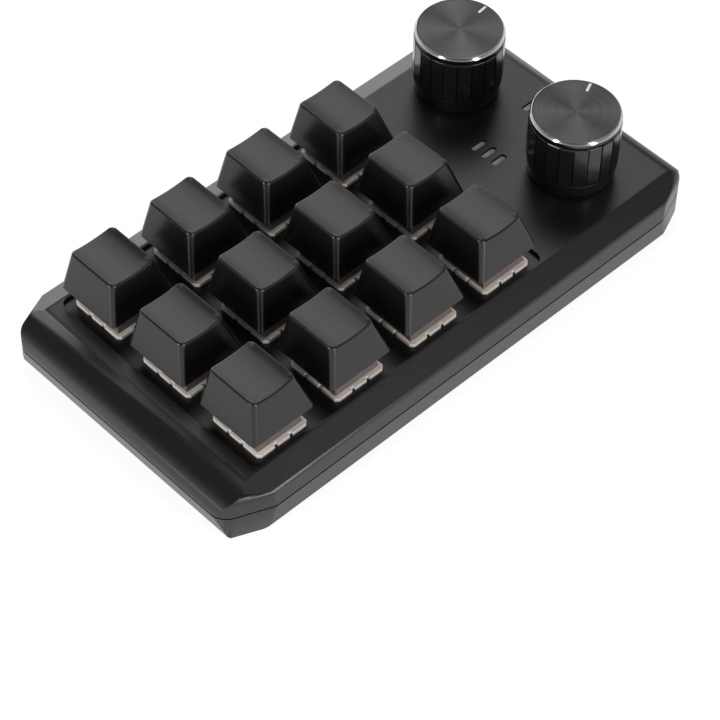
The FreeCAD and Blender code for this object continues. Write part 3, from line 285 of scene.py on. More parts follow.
# %% Metals
spring_steel = brushed("spring_steel", (0.55, 0.55, 0.56), 0.3)
contact_brass = brushed("contact_brass", (0.72, 0.5, 0.2), 0.3)
shaft_steel = brushed("shaft_steel", (0.5, 0.5, 0.5), 0.28)
encoder_metal = brushed("encoder_metal", (0.55, 0.55, 0.54), 0.34, stretch=(400.0, 9000.0, 400.0))
screw_steel = brushed("screw_steel", (0.06, 0.06, 0.065), 0.35)
inlet_steel = brushed("inlet_steel", (0.55, 0.55, 0.56), 0.28, stretch=(9000.0, 400.0, 400.0))
print("materials", len(bpy.data.materials))


# %% [markdown]
# The knobs' discs are dark anodised metal, turned on their face. Turning marks
# spread each lamp into a wedge; the ring normals draw some of that, and four soft
# bright wedges and four darker ones are painted into the face's colour round the
# axis, as painted highlights. The chamfered rim is cut afterwards with a diamond:
# the dark skin is gone there and bare bright metal shows. One material holds both,
# and it compares the radius with the rim's.


# %% Knob disc metal
# Painted highlights: each wave (lobes, angle of its first crest, amount) lightens and darkens the face's
# colour round the axis.
PAINTED_WEDGE_HIGHLIGHTS = ((4.0, 47.0, 0.2), (2.0, 45.0, 0.07), (1.0, 225.0, 0.06))
FACE_TONE = 0.064
FACE_TILT = 0.42
RIM_TILT = 0.05
RING_WIDTH = 0.000006
FACE_ROUGHNESS = 0.24
RIM_ROUGHNESS = 0.14


def wave_round(tree, angle, lobes, first_degrees, amount):
    """A wave round the axis with its crests counted from first_degrees."""
    turned_by = calc(tree, "SUBTRACT", angle, math.radians(first_degrees))
    wave = calc(tree, "COSINE", calc(tree, "MULTIPLY", turned_by, lobes))
    return calc(tree, "MULTIPLY", wave, amount)


def make_disc_metal(name, centre, face_radius, shoulder):
    """Dark anodised face and edge turned round their axis, with painted highlight wedges in the face's
    colour, and a bright cut rim between.
    """
    made, tree, shader = new_material(name, (FACE_TONE,) * 3, FACE_ROUGHNESS, metallic=1.0)
    place = add(tree, "ShaderNodeTexCoord").outputs["Object"]
    from_centre = vector_calc(tree, "SUBTRACT", place, centre)
    arm = vector_calc(tree, "MULTIPLY", from_centre, (1.0, 1.0, 0.0))
    radius = add(tree, "ShaderNodeVectorMath", {0: arm}, operation="LENGTH").outputs["Value"]
    parts = add(tree, "ShaderNodeSeparateXYZ", {"Vector": from_centre}).outputs
    angle = calc(tree, "ARCTAN2", parts["Y"], parts["X"])
    # Painted highlights: bright and dark wedges round the axis, multiplied into the face's colour.
    painted_wedges = 1.0
    for lobes, first_degrees, amount in PAINTED_WEDGE_HIGHLIGHTS:
        painted_wedges = calc(tree, "ADD", wave_round(tree, angle, lobes, first_degrees, amount), painted_wedges)
    painted_wedge_strength = calc(tree, "MULTIPLY", painted_wedges, FACE_TONE)
    painted_wedge_tone = add(tree, "ShaderNodeCombineColor", {"Red": painted_wedge_strength, "Green": painted_wedge_strength, "Blue": painted_wedge_strength})
    past_face = calc(tree, "GREATER_THAN", radius, face_radius)
    on_rim = calc(tree, "MULTIPLY", past_face, calc(tree, "GREATER_THAN", parts["Z"], shoulder))
    tone = add(tree, "ShaderNodeMix", {"Factor": on_rim}, data_type="RGBA")
    tree.links.new(painted_wedge_tone.outputs["Color"], tone.inputs["A"])
    tone.inputs["B"].default_value = (0.55, 0.55, 0.56, 1.0)
    tree.links.new(tone.outputs["Result"], shader.inputs["Base Color"])
    rings = add(tree, "ShaderNodeGroup", node_tree=TURNED_RINGS)
    rings.inputs["Centre"].default_value = centre
    rings.inputs["Ring width"].default_value = RING_WIDTH
    face_tilt = calc(tree, "MULTIPLY", calc(tree, "SUBTRACT", 1.0, on_rim), FACE_TILT)
    tree.links.new(calc(tree, "ADD", face_tilt, RIM_TILT), rings.inputs["Tilt"])
    tree.links.new(rings.outputs["Normal"], shader.inputs["Normal"])
    smoother = calc(tree, "MULTIPLY", on_rim, FACE_ROUGHNESS - RIM_ROUGHNESS)
    tree.links.new(calc(tree, "SUBTRACT", FACE_ROUGHNESS, smoother), shader.inputs["Roughness"])
    return made


# %% [markdown]
# The circuit board is glass laminate under black solder mask: glossy, with a weave
# that only just shows through as two crossing waves.


# %% Board laminate
def make_board_laminate():
    """Dark solder mask over a fine woven laminate."""
    made, tree, shader = new_material("board_laminate", (0.006, 0.016, 0.01), 0.3)
    place = add(tree, "ShaderNodeTexCoord").outputs["Object"]
    waves = []
    for direction in ("X", "Y"):
        wave = add(tree, "ShaderNodeTexWave", {"Vector": place, "Scale": 600.0}, bands_direction=direction)
        waves.append(wave.outputs["Fac"])
    weave = calc(tree, "MULTIPLY", *waves)
    bump = add(tree, "ShaderNodeBump", {"Height": weave, "Distance": 0.00002, "Strength": 0.6})
    tree.links.new(bump.outputs["Normal"], shader.inputs["Normal"])
    tone = add(tree, "ShaderNodeMix", {"Factor": weave}, data_type="RGBA")
    tone.inputs["A"].default_value = (0.005, 0.013, 0.008, 1.0)
    tone.inputs["B"].default_value = (0.008, 0.022, 0.014, 1.0)
    tree.links.new(tone.outputs["Result"], shader.inputs["Base Color"])
    return made


board_laminate = make_board_laminate()
print("board", board_laminate.name)

# %% [markdown]
# ## Copies of CAD solids
# The CAD meshes are loose triangles, one patch for each face, and every edge is
# perfectly sharp. A moulded edge is never sharp: it has a small round that catches
# the light. So a visible part is copied, its patches are merged, and flat areas are
# dissolved into whole faces. On the small parts a Bevel modifier then rounds each
# real edge; the two case halves get only their rims rounded, and their own normals.


# %% Solid copies
def join_patches(node):
    """A copy of a CAD node's mesh with its patches merged into clean flat faces."""
    mesh = frame["nodes"][node].data.copy()
    shape = bmesh.new()
    shape.from_mesh(mesh)
    bmesh.ops.remove_doubles(shape, verts=shape.verts, dist=0.002 * MM)
    bmesh.ops.dissolve_limit(
        shape,
        angle_limit=math.radians(0.6),
        verts=shape.verts,
        edges=shape.edges,
        use_dissolve_boundaries=False,
    )
    shape.to_mesh(mesh)
    shape.free()
    return mesh


def new_piece(name, mesh, material):
    """An object for a finished mesh, with one material."""
    piece = bpy.data.objects.new(name, mesh)
    bpy.context.scene.collection.objects.link(piece)
    mesh.materials.clear()
    mesh.materials.append(material)
    return piece


def round_edges(piece, width, segments=2, angle=32.0):
    """Round the real edges, and weight the shading by face size so that flats stay flat."""
    piece.data.shade_smooth()
    bevel = piece.modifiers.new("rounded edges", "BEVEL")
    bevel.width = width
    bevel.segments = segments
    bevel.limit_method = "ANGLE"
    bevel.angle_limit = math.radians(angle)
    bevel.use_clamp_overlap = False
    weigh_normals(piece)
    return piece


def weigh_normals(piece):
    """Let the large flat faces rule the smooth shading beside them."""
    weighted = piece.modifiers.new("flat faces", "WEIGHTED_NORMAL")
    weighted.weight = 100
    weighted.keep_sharp = True


def round_rims(shape, level, width):
    """Round only the sharp edges that lie flat at one level, the rims of openings."""
    rims = []
    for edge in shape.edges:
        flat = all(abs(vertex.co.z - level) < 0.01 * MM for vertex in edge.verts)
        if flat and edge.is_manifold and edge.calc_face_angle() > math.radians(40.0):
            rims.append(edge)
    bmesh.ops.bevel(
        shape,
        geom=rims,
        offset=width,
        segments=3,
        profile=0.5,
        affect="EDGES",
        clamp_overlap=False,
    )


def measure_flats(shape):
    """The area of the whole flat region that each face belongs to."""
    areas = {}
    keys = {}
    for face in shape.faces:
        normal = face.normal
        offset = normal.dot(face.calc_center_median()) / MM
        keys[face] = (round(normal.x, 2), round(normal.y, 2), round(normal.z, 2), round(offset, 1))
        areas[keys[face]] = areas.get(keys[face], 0.0) + face.calc_area()
    return {face: areas[key] for face, key in keys.items()}


def smooth_fans(vertex):
    """Groups of loops round a vertex that no sharp edge parts."""
    waiting = set(vertex.link_loops)
    while waiting:
        fan = [waiting.pop()]
        for loop in fan:
            for edge in (loop.edge, loop.link_loop_prev.edge):
                if edge.smooth:
                    for face in edge.link_faces:
                        for other in face.loops:
                            if other in waiting:
                                waiting.discard(other)
                                fan.append(other)
        yield fan


def set_flat_first_normals(mesh, sharp_degrees=30.0, smallest_flat=200.0):
    """Smooth shading in which a large flat (area in square mm) keeps its own normal."""
    mesh.shade_smooth()
    mesh.set_sharp_from_angle(angle=math.radians(sharp_degrees))
    shape = bmesh.new()
    shape.from_mesh(mesh)
    areas = measure_flats(shape)
    normals = [(0.0, 0.0, 0.0)] * len(mesh.loops)
    for vertex in shape.verts:
        for fan in smooth_fans(vertex):
            largest = max(fan, key=lambda loop: areas[loop.face])
            if areas[largest.face] > smallest_flat * MM * MM:
                normal = largest.face.normal.copy()
            else:
                normal = sum((loop.face.normal * loop.calc_angle() for loop in fan), Vector())
                normal.normalize()
            for loop in fan:
                normals[loop.index] = tuple(normal)
    shape.free()
    mesh.normals_split_custom_set(normals)


def smooth_case_half(node, name, level, width):
    """A case half with rounded rims and clean shading, standing for its CAD node."""
    mesh = join_patches(node)
    shape = bmesh.new()
    shape.from_mesh(mesh)
    round_rims(shape, level, width)
    shape.to_mesh(mesh)
    shape.free()
    set_flat_first_normals(mesh)
    return stand_for(new_piece(name, mesh, case_plastic), node)


def stand_for(piece, node):
    """Let a piece ride the body of the CAD node it stands for and replace it."""
    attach(piece, frame["nodes"][node]["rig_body"])
    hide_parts(node)
    return piece


def dress(node, name, material, width):
    """A copy of a CAD node with rounded edges that stands for it on the same body."""
    piece = new_piece(name, join_patches(node), material)
    round_edges(piece, width)
    return stand_for(piece, node)


# %% [markdown]
# ## Case
# The CAD case already has its large rounds: the rolled end, the soft creases, the
# corners. Only the rims of the openings in its deck are still sharp, so the bevel
# goes to the edges that lie at the deck's level and leaves the seam line crisp.

# %% Case
top_case = smooth_case_half("top_shell", "top_case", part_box("top_shell")[1].z, 0.18 * MM)
bottom_case = smooth_case_half("bottom_shell", "bottom_case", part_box("bottom_shell")[0].z, 0.15 * MM)
print("case faces", len(top_case.data.polygons), len(bottom_case.data.polygons))

# %% [markdown]
# ## Keycaps
# A keycap is a hollow block whose four walls lean in, with round upright corners,
# a soft top edge and a dish that runs front to back. It is built here as a stack
# of rounded rectangles, because then the top edge can follow the dish exactly.

# %% Keycap sizes
CAP_BASE = 18.1
CAP_TOP = (12.4, 14.2)
CAP_BASE_SHIFT = 1.0
CAP_TOP_SHIFT = 2.3
CAP_HEIGHT = 9.7
CAP_RIM_CORNER = 1.2
CAP_TOP_CORNER = 1.5
CAP_EDGE = 0.4
CAP_WALL = 1.2
CAP_ROOF = 2.2
CAP_LEAN = CAP_TOP_SHIFT - CAP_BASE_SHIFT
DISH_RADIUS = 32.0
DISH_DEPTH = 0.75
CORNER_STEPS = 8
SIDE_STEPS = 8
SOCKET_RADII = (2.1, 2.7)
SOCKET_FOOT = 0.3


# %% Keycap rings
def wall_ring(level, inset):
    """Rounded rectangle that the keycap's wall has at a level, drawn in by inset."""
    share = level / CAP_HEIGHT
    half_x = (CAP_BASE + (CAP_TOP[0] - CAP_BASE) * share) / 2 - inset
    half_y = (CAP_BASE + (CAP_TOP[1] - CAP_BASE) * share) / 2 - inset
    corner = CAP_RIM_CORNER + (CAP_TOP_CORNER - CAP_RIM_CORNER) * share
    radius = max(corner - inset, 0.3)
    ring = []
    for quarter, (side_x, side_y) in enumerate(((1, 1), (-1, 1), (-1, -1), (1, -1))):
        for step in range(CORNER_STEPS + 1):
            angle = math.radians(90.0 * (quarter + step / CORNER_STEPS))
            x = side_x * (half_x - radius) + radius * math.cos(angle)
            y = side_y * (half_y - radius) + radius * math.sin(angle) + CAP_LEAN * share
            ring.append((x, y))
    return with_side_points(ring)


def with_side_points(ring):
    """The same ring with extra points along its four straight sides."""
    corner_points = CORNER_STEPS + 1
    full = []
    for number, (x, y) in enumerate(ring):
        full.append((x, y))
        if (number + 1) % corner_points == 0:
            next_x, next_y = ring[(number + 1) % len(ring)]
            for step in range(1, SIDE_STEPS):
                share = step / SIDE_STEPS
                full.append((x + (next_x - x) * share, y + (next_y - y) * share))
    return full


def dished(x):
    """Height of the keycap's top at x, lowest along its middle."""
    return CAP_HEIGHT - DISH_DEPTH + DISH_RADIUS - math.sqrt(DISH_RADIUS**2 - x**2)


def keycap_rings():
    """Every ring of the outer skin, from the rim to the middle of the dish."""
    rings = [[(x, y, 0.0) for x, y in wall_ring(0.0, 0.15)]]
    rings.append([(x, y, 0.15) for x, y in wall_ring(0.15, 0.0)])
    for share in (0.25, 0.5, 0.75):
        level = share * (CAP_HEIGHT - DISH_DEPTH - CAP_EDGE)
        rings.append([(x, y, level) for x, y in wall_ring(level, 0.0)])
    crown = wall_ring(CAP_HEIGHT, 0.0)
    for step in range(7):
        turn = math.radians(90.0 * step / 6)
        inset = CAP_EDGE * (1.0 - math.cos(turn))
        ring = []
        for number, (x, _) in enumerate(crown):
            level = dished(x) - CAP_EDGE * (1.0 - math.sin(turn))
            ring.append((*wall_ring(level, inset)[number], level))
        rings.append(ring)
    last = rings[-1]
    for share in (0.85, 0.65, 0.45, 0.25, 0.08):
        inner = [(x * share, CAP_LEAN + (y - CAP_LEAN) * share) for x, y, _ in last]
        rings.append([(x, y, dished(x)) for x, y in inner])
    return rings


def skin(shape, rings, close_start=False, close_end=False):
    """Quads between rings of the same length, with a face at either end."""
    rows = [[shape.verts.new(point) for point in ring] for ring in rings]
    for lower, upper in zip(rows, rows[1:]):
        for number in range(len(lower)):
            following = (number + 1) % len(lower)
            shape.faces.new((lower[number], lower[following], upper[following], upper[number]))
    if close_start:
        shape.faces.new(list(reversed(rows[0])))
    if close_end:
        shape.faces.new(rows[-1])
    return rows


# %% Keycap mesh
def keycap_mesh():
    """One keycap standing on its rim: outer skin, hollow, and the socket for the stem."""
    shape = bmesh.new()
    inside = [[(x, y, 0.0) for x, y in wall_ring(0.0, CAP_WALL)]]
    roof = CAP_HEIGHT - CAP_ROOF
    inside.insert(0, [(x, y, roof) for x, y in wall_ring(roof, CAP_WALL)])
    skin(shape, inside + keycap_rings(), close_start=True, close_end=True)

    def circle(radius, level):
        turns = [math.tau * step / 32 for step in range(32)]
        points = [(radius * math.cos(turn), radius * math.sin(turn)) for turn in turns]
        return [(x, y - CAP_BASE_SHIFT, level) for x, y in points]

    bore, outer = SOCKET_RADII
    socket = [circle(bore, roof - 0.1), circle(bore, SOCKET_FOOT), circle(outer, SOCKET_FOOT)]
    socket += [circle(outer, roof + 0.2), circle(bore, roof + 0.2)]
    skin(shape, socket, close_start=False, close_end=True)
    shape.verts.ensure_lookup_table()
    bmesh.ops.holes_fill(shape, edges=[edge for edge in shape.edges if edge.is_boundary])
    bmesh.ops.recalc_face_normals(shape, faces=shape.faces)
    bmesh.ops.scale(shape, vec=(MM, MM, MM), verts=shape.verts)
    mesh = bpy.data.meshes.new("keycap")
    shape.to_mesh(mesh)
    shape.free()
    mesh.shade_smooth()
    return mesh


KEYS = [(row, column) for row in (1, 2, 3) for column in (1, 2, 3, 4)]
template = keycap_mesh()
for row, column in KEYS:
    node = f"keycap_{row}_{column}"
    low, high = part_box(node)
    mesh = template.copy()
    centre = (low + high) / 2
    place = Vector((centre.x, centre.y, low.z))
    for vertex in mesh.vertices:
        vertex.co += place
    mesh.set_sharp_from_angle(angle=math.radians(50.0))
    cap = new_piece(f"cap_{row}_{column}", mesh, keycap_plastic)
    weigh_normals(cap)
    stand_for(cap, node)
print("keycap faces", len(template.polygons))

# %% [markdown]
# ## Switch housings
# Under each keycap the switch shows as a pale flange, and above it stands a smoky
# hood that is nearly lost in the cap's shadow. The twelve lower halves are one node
# in the frame and the twelve hoods another, so two copies stand for them all.

# %% Switches
dress("switch_bases", "switch_housings", housing_plastic, 0.12 * MM)
dress("switch_covers", "switch_hoods", hood_plastic, 0.1 * MM)
for row, column in KEYS:
    dress(f"switch_stem_{row}_{column}", f"slider_{row}_{column}", stem_plastic, 0.06 * MM)
print("switches", len(KEYS))


# %% [markdown]
# ## Return springs
# Each switch holds a coil spring. A coil follows a rule, so Geometry Nodes winds
# it: a spiral curve, swept with a round wire. The modifier's inputs are set by
# their socket identifiers, and the result is baked to a plain mesh.


# %% Growing a mesh from a node tree
def grow(name, tree, start_mesh, settings, material):
    """A piece whose mesh a Geometry Nodes tree makes, baked to plain faces."""
    piece = bpy.data.objects.new(name, start_mesh)
    bpy.context.scene.collection.objects.link(piece)
    modifier = piece.modifiers.new(tree.name, "NODES")
    modifier.node_group = tree
    for item in tree.interface.items_tree:
        if item.in_out == "INPUT" and item.name in settings:
            modifier[item.identifier] = settings[item.name]
        if item.in_out == "INPUT" and item.name == "Material":
            modifier[item.identifier] = material
    graph = bpy.context.evaluated_depsgraph_get()
    baked = bpy.data.meshes.new_from_object(piece.evaluated_get(graph), depsgraph=graph)
    piece.modifiers.clear()
    piece.data = baked
    return piece


def end_tree(tree, given, out, geometry):
    """Realize instances, set the material and join the tree's output."""
    real = add(tree, "GeometryNodeRealizeInstances", {"Geometry": geometry}).outputs["Geometry"]
    smooth = add(tree, "GeometryNodeSetShadeSmooth", {"Geometry": real}).outputs["Geometry"]
    dressed = add(tree, "GeometryNodeSetMaterial", {"Geometry": smooth, "Material": given["Material"]})
    tree.links.new(dressed.outputs["Geometry"], out.inputs["Geometry"])


# %% Coil spring tree
def make_coil_tree():
    """A round wire wound on a spiral that stands at Place."""
    tree, given, out = new_tree(
        "coil spring",
        "GeometryNodeTree",
        {
            "Geometry": (GEOMETRY, None),
            "Place": (VECTOR, (0.0, 0.0, 0.0)),
            "Radius": (FLOAT, 0.002),
            "Wire": (FLOAT, 0.00015),
            "Height": (FLOAT, 0.0085),
            "Turns": (FLOAT, 7.0),
            "Material": (MATERIAL, None),
        },
        {"Geometry": GEOMETRY},
    )
    spiral = add(
        tree,
        "GeometryNodeCurveSpiral",
        {
            "Resolution": 28,
            "Rotations": given["Turns"],
            "Start Radius": given["Radius"],
            "End Radius": given["Radius"],
            "Height": given["Height"],
        },
    ).outputs["Curve"]
    wire = add(tree, "GeometryNodeCurvePrimitiveCircle", {"Resolution": 8, "Radius": given["Wire"]})
    tube = add(
        tree,
        "GeometryNodeCurveToMesh",
        {"Curve": spiral, "Profile Curve": wire.outputs["Curve"], "Fill Caps": True},
    ).outputs["Mesh"]
    moved = add(tree, "GeometryNodeTransform", {"Geometry": tube, "Translation": given["Place"]})
    end_tree(tree, given, out, moved.outputs["Geometry"])
    return tree


# %% Springs in their switches
COIL_TREE = make_coil_tree()
SPRING_WIRE = 0.15 * MM
for row, column in KEYS:
    node = f"switch_spring_{row}_{column}"
    low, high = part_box(node)
    middle = (low + high) / 2
    settings = {
        "Place": (middle.x, middle.y, low.z + SPRING_WIRE),
        "Radius": (high.x - low.x) / 2 - SPRING_WIRE,
        "Wire": SPRING_WIRE,
        "Height": high.z - low.z - SPRING_WIRE * 2,
    }
    spring = grow(f"spring_{row}_{column}", COIL_TREE, bpy.data.meshes.new(node), settings, spring_steel)
    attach(spring, "case")
    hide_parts(node)
    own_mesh(spring)

# %% [markdown]
# ## Knobs
# A knob is made the way a machine shop would make it. First a blank is turned: a
# profile in radius and height, spun round the axis. Then a Geometry Nodes tree
# mills it: every point of the side is pulled in to its flat or its fine groove.
# The tree's inputs say how many flats there are and how deep the grooves go. The
# bore in the hub is left round here; the flat that drives the shaft is in the CAD.


# %% Turned blanks
def turned(name, profile, turns):
    """Spin a closed profile of (radius, height) in mm; both its ends meet the axis."""
    shape = bmesh.new()
    rings = []
    for radius, level in profile:
        rings.append([(radius * math.cos(turn), radius * math.sin(turn), level) for turn in turns])
    skin(shape, rings, close_start=True, close_end=True)
    bmesh.ops.recalc_face_normals(shape, faces=shape.faces)
    bmesh.ops.scale(shape, vec=(MM, MM, MM), verts=shape.verts)
    mesh = bpy.data.meshes.new(name)
    shape.to_mesh(mesh)
    shape.free()
    mesh.shade_smooth()
    return mesh


def corner_arc(radius, level, round_by, steps=4):
    """An outer upper corner of a profile, as a quarter round that ends on top."""
    points = []
    for step in range(steps + 1):
        turn = math.radians(90.0 * step / steps)
        x = radius - round_by * (1.0 - math.cos(turn))
        points.append((x, level - round_by * (1.0 - math.sin(turn))))
    return points


def even_turns(steps):
    """Evenly spaced directions round the axis."""
    return [math.tau * step / steps for step in range(steps)]


# %% Knob milling tree
def make_milling_tree():
    """Pull the side of a turned blank in to flats with grooves between them."""
    tree, given, out = new_tree(
        "mill flats and grooves",
        "GeometryNodeTree",
        {
            "Geometry": (GEOMETRY, None),
            "Place": (VECTOR, (0.0, 0.0, 0.0)),
            "Turn": (FLOAT, 0.0),
            "Flats": (WHOLE, 20),
            "Side radius": (FLOAT, 0.0108),
            "Groove width": (FLOAT, 0.00035),
            "Groove depth": (FLOAT, 0.00035),
            "Grooves from": (FLOAT, 0.004),
            "Grooves to": (FLOAT, 0.0155),
            "Material": (MATERIAL, None),
        },
        {"Geometry": GEOMETRY},
    )
    position = add(tree, "GeometryNodeInputPosition").outputs["Position"]
    parts = add(tree, "ShaderNodeSeparateXYZ", {"Vector": position}).outputs
    across = vector_calc(tree, "MULTIPLY", position, (1.0, 1.0, 0.0))
    radius = add(tree, "ShaderNodeVectorMath", {0: across}, operation="LENGTH").outputs["Value"]
    angle = calc(tree, "ARCTAN2", parts["Y"], parts["X"])
    flat_number = calc(tree, "DIVIDE", calc(tree, "MULTIPLY", angle, given["Flats"]), math.tau)
    from_middle = calc(tree, "SUBTRACT", calc(tree, "FRACT", flat_number), 0.5)
    flat_angle = calc(tree, "DIVIDE", math.tau, given["Flats"])
    lean = calc(tree, "COSINE", calc(tree, "MULTIPLY", from_middle, flat_angle))
    corner_lean = calc(tree, "COSINE", calc(tree, "DIVIDE", math.pi, given["Flats"]))
    flattened = calc(tree, "SUBTRACT", 1.0, calc(tree, "DIVIDE", corner_lean, lean))
    above = calc(tree, "GREATER_THAN", parts["Z"], given["Grooves from"])
    on_side = calc(tree, "GREATER_THAN", radius, calc(tree, "MULTIPLY", given["Side radius"], 0.95))
    side_mask = calc(tree, "MULTIPLY", above, on_side)
    pull = calc(tree, "MULTIPLY", calc(tree, "MULTIPLY", flattened, side_mask), radius)
    milled = calc(tree, "SUBTRACT", radius, pull)

    to_corner = calc(tree, "SUBTRACT", 0.5, calc(tree, "ABSOLUTE", from_middle))
    distance = calc(tree, "MULTIPLY", calc(tree, "MULTIPLY", to_corner, flat_angle), radius)
    in_groove = calc(tree, "LESS_THAN", distance, calc(tree, "DIVIDE", given["Groove width"], 2.0))
    below = calc(tree, "LESS_THAN", parts["Z"], given["Grooves to"])
    for test in (below, side_mask):
        in_groove = calc(tree, "MULTIPLY", in_groove, test)
    cut = calc(tree, "SUBTRACT", milled, calc(tree, "MULTIPLY", in_groove, given["Groove depth"]))
    shrink = calc(tree, "DIVIDE", cut, calc(tree, "MAXIMUM", radius, 0.000001))
    drawn_in = add(tree, "ShaderNodeVectorMath", {0: across, "Scale": shrink}, operation="SCALE").outputs[0]
    upright = add(tree, "ShaderNodeCombineXYZ", {"Z": parts["Z"]}).outputs["Vector"]
    placed = vector_calc(tree, "ADD", drawn_in, upright)
    moved = add(tree, "GeometryNodeSetPosition", {"Geometry": given["Geometry"], "Position": placed})
    spin = add(tree, "ShaderNodeCombineXYZ", {"Z": given["Turn"]}).outputs["Vector"]
    stood = add(
        tree,
        "GeometryNodeTransform",
        {"Geometry": moved.outputs["Geometry"], "Translation": given["Place"], "Rotation": spin},
    )
    end_tree(tree, given, out, stood.outputs["Geometry"])
    return tree


# %% Knob sizes
KNOB_TOP = 16.4
KNOB_NECK = (10.2, 15.9)
KNOB_SIDE = 10.8
KNOB_SKIRT = 3.6
KNOB_SKIRT_TOP = 10.6
KNOB_SKIRT_RADIUS = 10.3
KNOB_INNER = 8.7
KNOB_HUB = (4.8, 5.0)
KNOB_BORE = (3.05, 14.3)
KNOB_FLATS = 20
KNOB_ROOF = 1.6
KNOB_SIDE_LEVELS = (5.0, 10.0, 14.8)
KNOB_TOP_ROUND = 0.45
GROOVE_WIDTH = 0.35
GROOVE_DEPTH = 0.35
DISC_THICKNESS = 1.5
DISC_FACE_DROP = 0.04
RIM_WIDTH = 0.5
RIM_HEIGHT = 0.6
RIM_LAP = 0.03
POINTER_ANGLES = {"back": 7.0, "front": 24.0}


def knob_profile():
    """The blank's profile from the bore's end, down and round the skirt, up to its top."""
    outer = KNOB_SIDE / math.cos(math.pi / KNOB_FLATS)
    roof = KNOB_TOP - KNOB_ROOF
    points = [KNOB_BORE, (KNOB_BORE[0], KNOB_HUB[1]), KNOB_HUB]
    points += [(KNOB_HUB[0], roof), (KNOB_INNER, roof), (KNOB_INNER, 0.0)]
    points += [(KNOB_SKIRT_RADIUS - 0.2, 0.0), (KNOB_SKIRT_RADIUS, 0.2)]
    points += [(KNOB_SKIRT_TOP - 0.02, KNOB_SKIRT - 0.3), (KNOB_SKIRT_TOP, KNOB_SKIRT - 0.2)]
    points += [(KNOB_SKIRT_TOP - 0.1, KNOB_SKIRT), (outer - 0.12, KNOB_SKIRT + 0.06)]
    points += [(outer, KNOB_SKIRT + 0.2)]
    points += [(outer, level) for level in KNOB_SIDE_LEVELS]
    points += corner_arc(outer, KNOB_NECK[1], KNOB_TOP_ROUND)
    points += [KNOB_NECK, (KNOB_NECK[0], KNOB_TOP)]
    return points


def knob_turns():
    """Directions round the axis, close together on both sides of each groove."""
    groove_half = GROOVE_WIDTH / 2 / (math.tau * KNOB_SIDE / KNOB_FLATS)
    shares = [0.0, groove_half * 0.85, groove_half * 1.15, 0.25, 0.5, 0.75]
    shares += [1.0 - groove_half * 1.15, 1.0 - groove_half * 0.85]
    return [math.tau * (flat + share) / KNOB_FLATS for flat in range(KNOB_FLATS) for share in shares]


def disc_profile(radius):
    """The metal disc: its under side, its upright edge, the chamfered rim and the face."""
    face = radius - RIM_WIDTH
    shoulder = DISC_THICKNESS - RIM_HEIGHT
    points = [(1.0, 0.0), (radius - 0.1, 0.0), (radius, 0.1), (radius, shoulder - 0.06)]
    points += [(radius - 0.02, shoulder), (radius - 0.06, shoulder + 0.05)]
    points += [(face + 0.1, DISC_THICKNESS - 0.04), (face + 0.04, DISC_THICKNESS - 0.005)]
    points += [(face, DISC_THICKNESS), (face - 0.06, DISC_THICKNESS - DISC_FACE_DROP)]
    points += [(share * face, DISC_THICKNESS - DISC_FACE_DROP) for share in (0.95, 0.6, 0.2, 0.02)]
    return points


# %% Knobs
MILLING_TREE = make_milling_tree()
for side, pointer_angle in POINTER_ANGLES.items():
    low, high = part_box(f"knob_body_{side}")
    disc_low, disc_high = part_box(f"knob_cap_{side}")
    axis = (disc_low + disc_high) / 2
    settings = {
        "Place": (axis.x, axis.y, low.z),
        "Turn": math.radians(pointer_angle),
        "Flats": KNOB_FLATS,
        "Side radius": KNOB_SIDE * MM,
        "Groove width": GROOVE_WIDTH * MM,
        "Groove depth": GROOVE_DEPTH * MM,
        "Grooves from": (KNOB_SKIRT + 0.03) * MM,
        "Grooves to": KNOB_NECK[1] * MM,
    }
    blank = turned(f"knob_blank_{side}", knob_profile(), knob_turns())
    grip = grow(f"grip_{side}", MILLING_TREE, blank, settings, knob_plastic)
    grip.data.set_sharp_from_angle(angle=math.radians(50.0))
    weigh_normals(grip)
    stand_for(grip, f"knob_body_{side}")

    disc_radius = (disc_high.x - disc_low.x) / 2 / MM
    disc_mesh = turned(f"disc_{side}", disc_profile(disc_radius), even_turns(144))
    for vertex in disc_mesh.vertices:
        vertex.co += Vector((axis.x, axis.y, disc_low.z))
    face_radius = (disc_radius - RIM_WIDTH - RIM_LAP) * MM
    shoulder = (DISC_THICKNESS / 2 - RIM_HEIGHT) * MM
    disc_metal = make_disc_metal(f"disc_metal_{side}", axis, face_radius, shoulder)
    disc = new_piece(f"disc_{side}", disc_mesh, disc_metal)
    disc_mesh.set_sharp_from_angle(angle=math.radians(40.0))
    weigh_normals(disc)
    stand_for(disc, f"knob_cap_{side}")
print("knob faces", len(grip.data.polygons), "disc faces", len(disc_mesh.polygons))

# %% [markdown]
# ## Repeated small parts
# Screws, feet, pins and lamps each come several times. One solid of a kind is
# taken out of the CAD node and its edges are rounded. Then Geometry Nodes puts a
# copy of it on every point where the CAD has one.


# %% Copies on points tree
def make_copies_tree():
    """Place the template object on every vertex of the incoming mesh."""
    tree, given, out = new_tree(
        "copies on points",
        "GeometryNodeTree",
        {
            "Geometry": (GEOMETRY, None),
            "Template": ("NodeSocketObject", None),
            "Material": (MATERIAL, None),
        },
        {"Geometry": GEOMETRY},
    )
    source = add(tree, "GeometryNodeObjectInfo", {"Object": given["Template"]}).outputs["Geometry"]
    copies = add(tree, "GeometryNodeInstanceOnPoints", {"Points": given["Geometry"], "Instance": source})
    end_tree(tree, given, out, copies.outputs["Instances"])
    return tree


# %% Taking one solid out of a node
def separate_solids(mesh):
    """The vertex numbers of each separate solid in a mesh."""
    shape = bmesh.new()
    shape.from_mesh(mesh)
    waiting = set(shape.verts)
    solids = []
    while waiting:
        edge_of_work = [waiting.pop()]
        found = set(edge_of_work)
        while edge_of_work:
            for edge in edge_of_work.pop().link_edges:
                for vertex in edge.verts:
                    if vertex not in found:
                        found.add(vertex)
                        edge_of_work.append(vertex)
        waiting -= found
        solids.append(sorted(vertex.index for vertex in found))
    shape.free()
    return solids


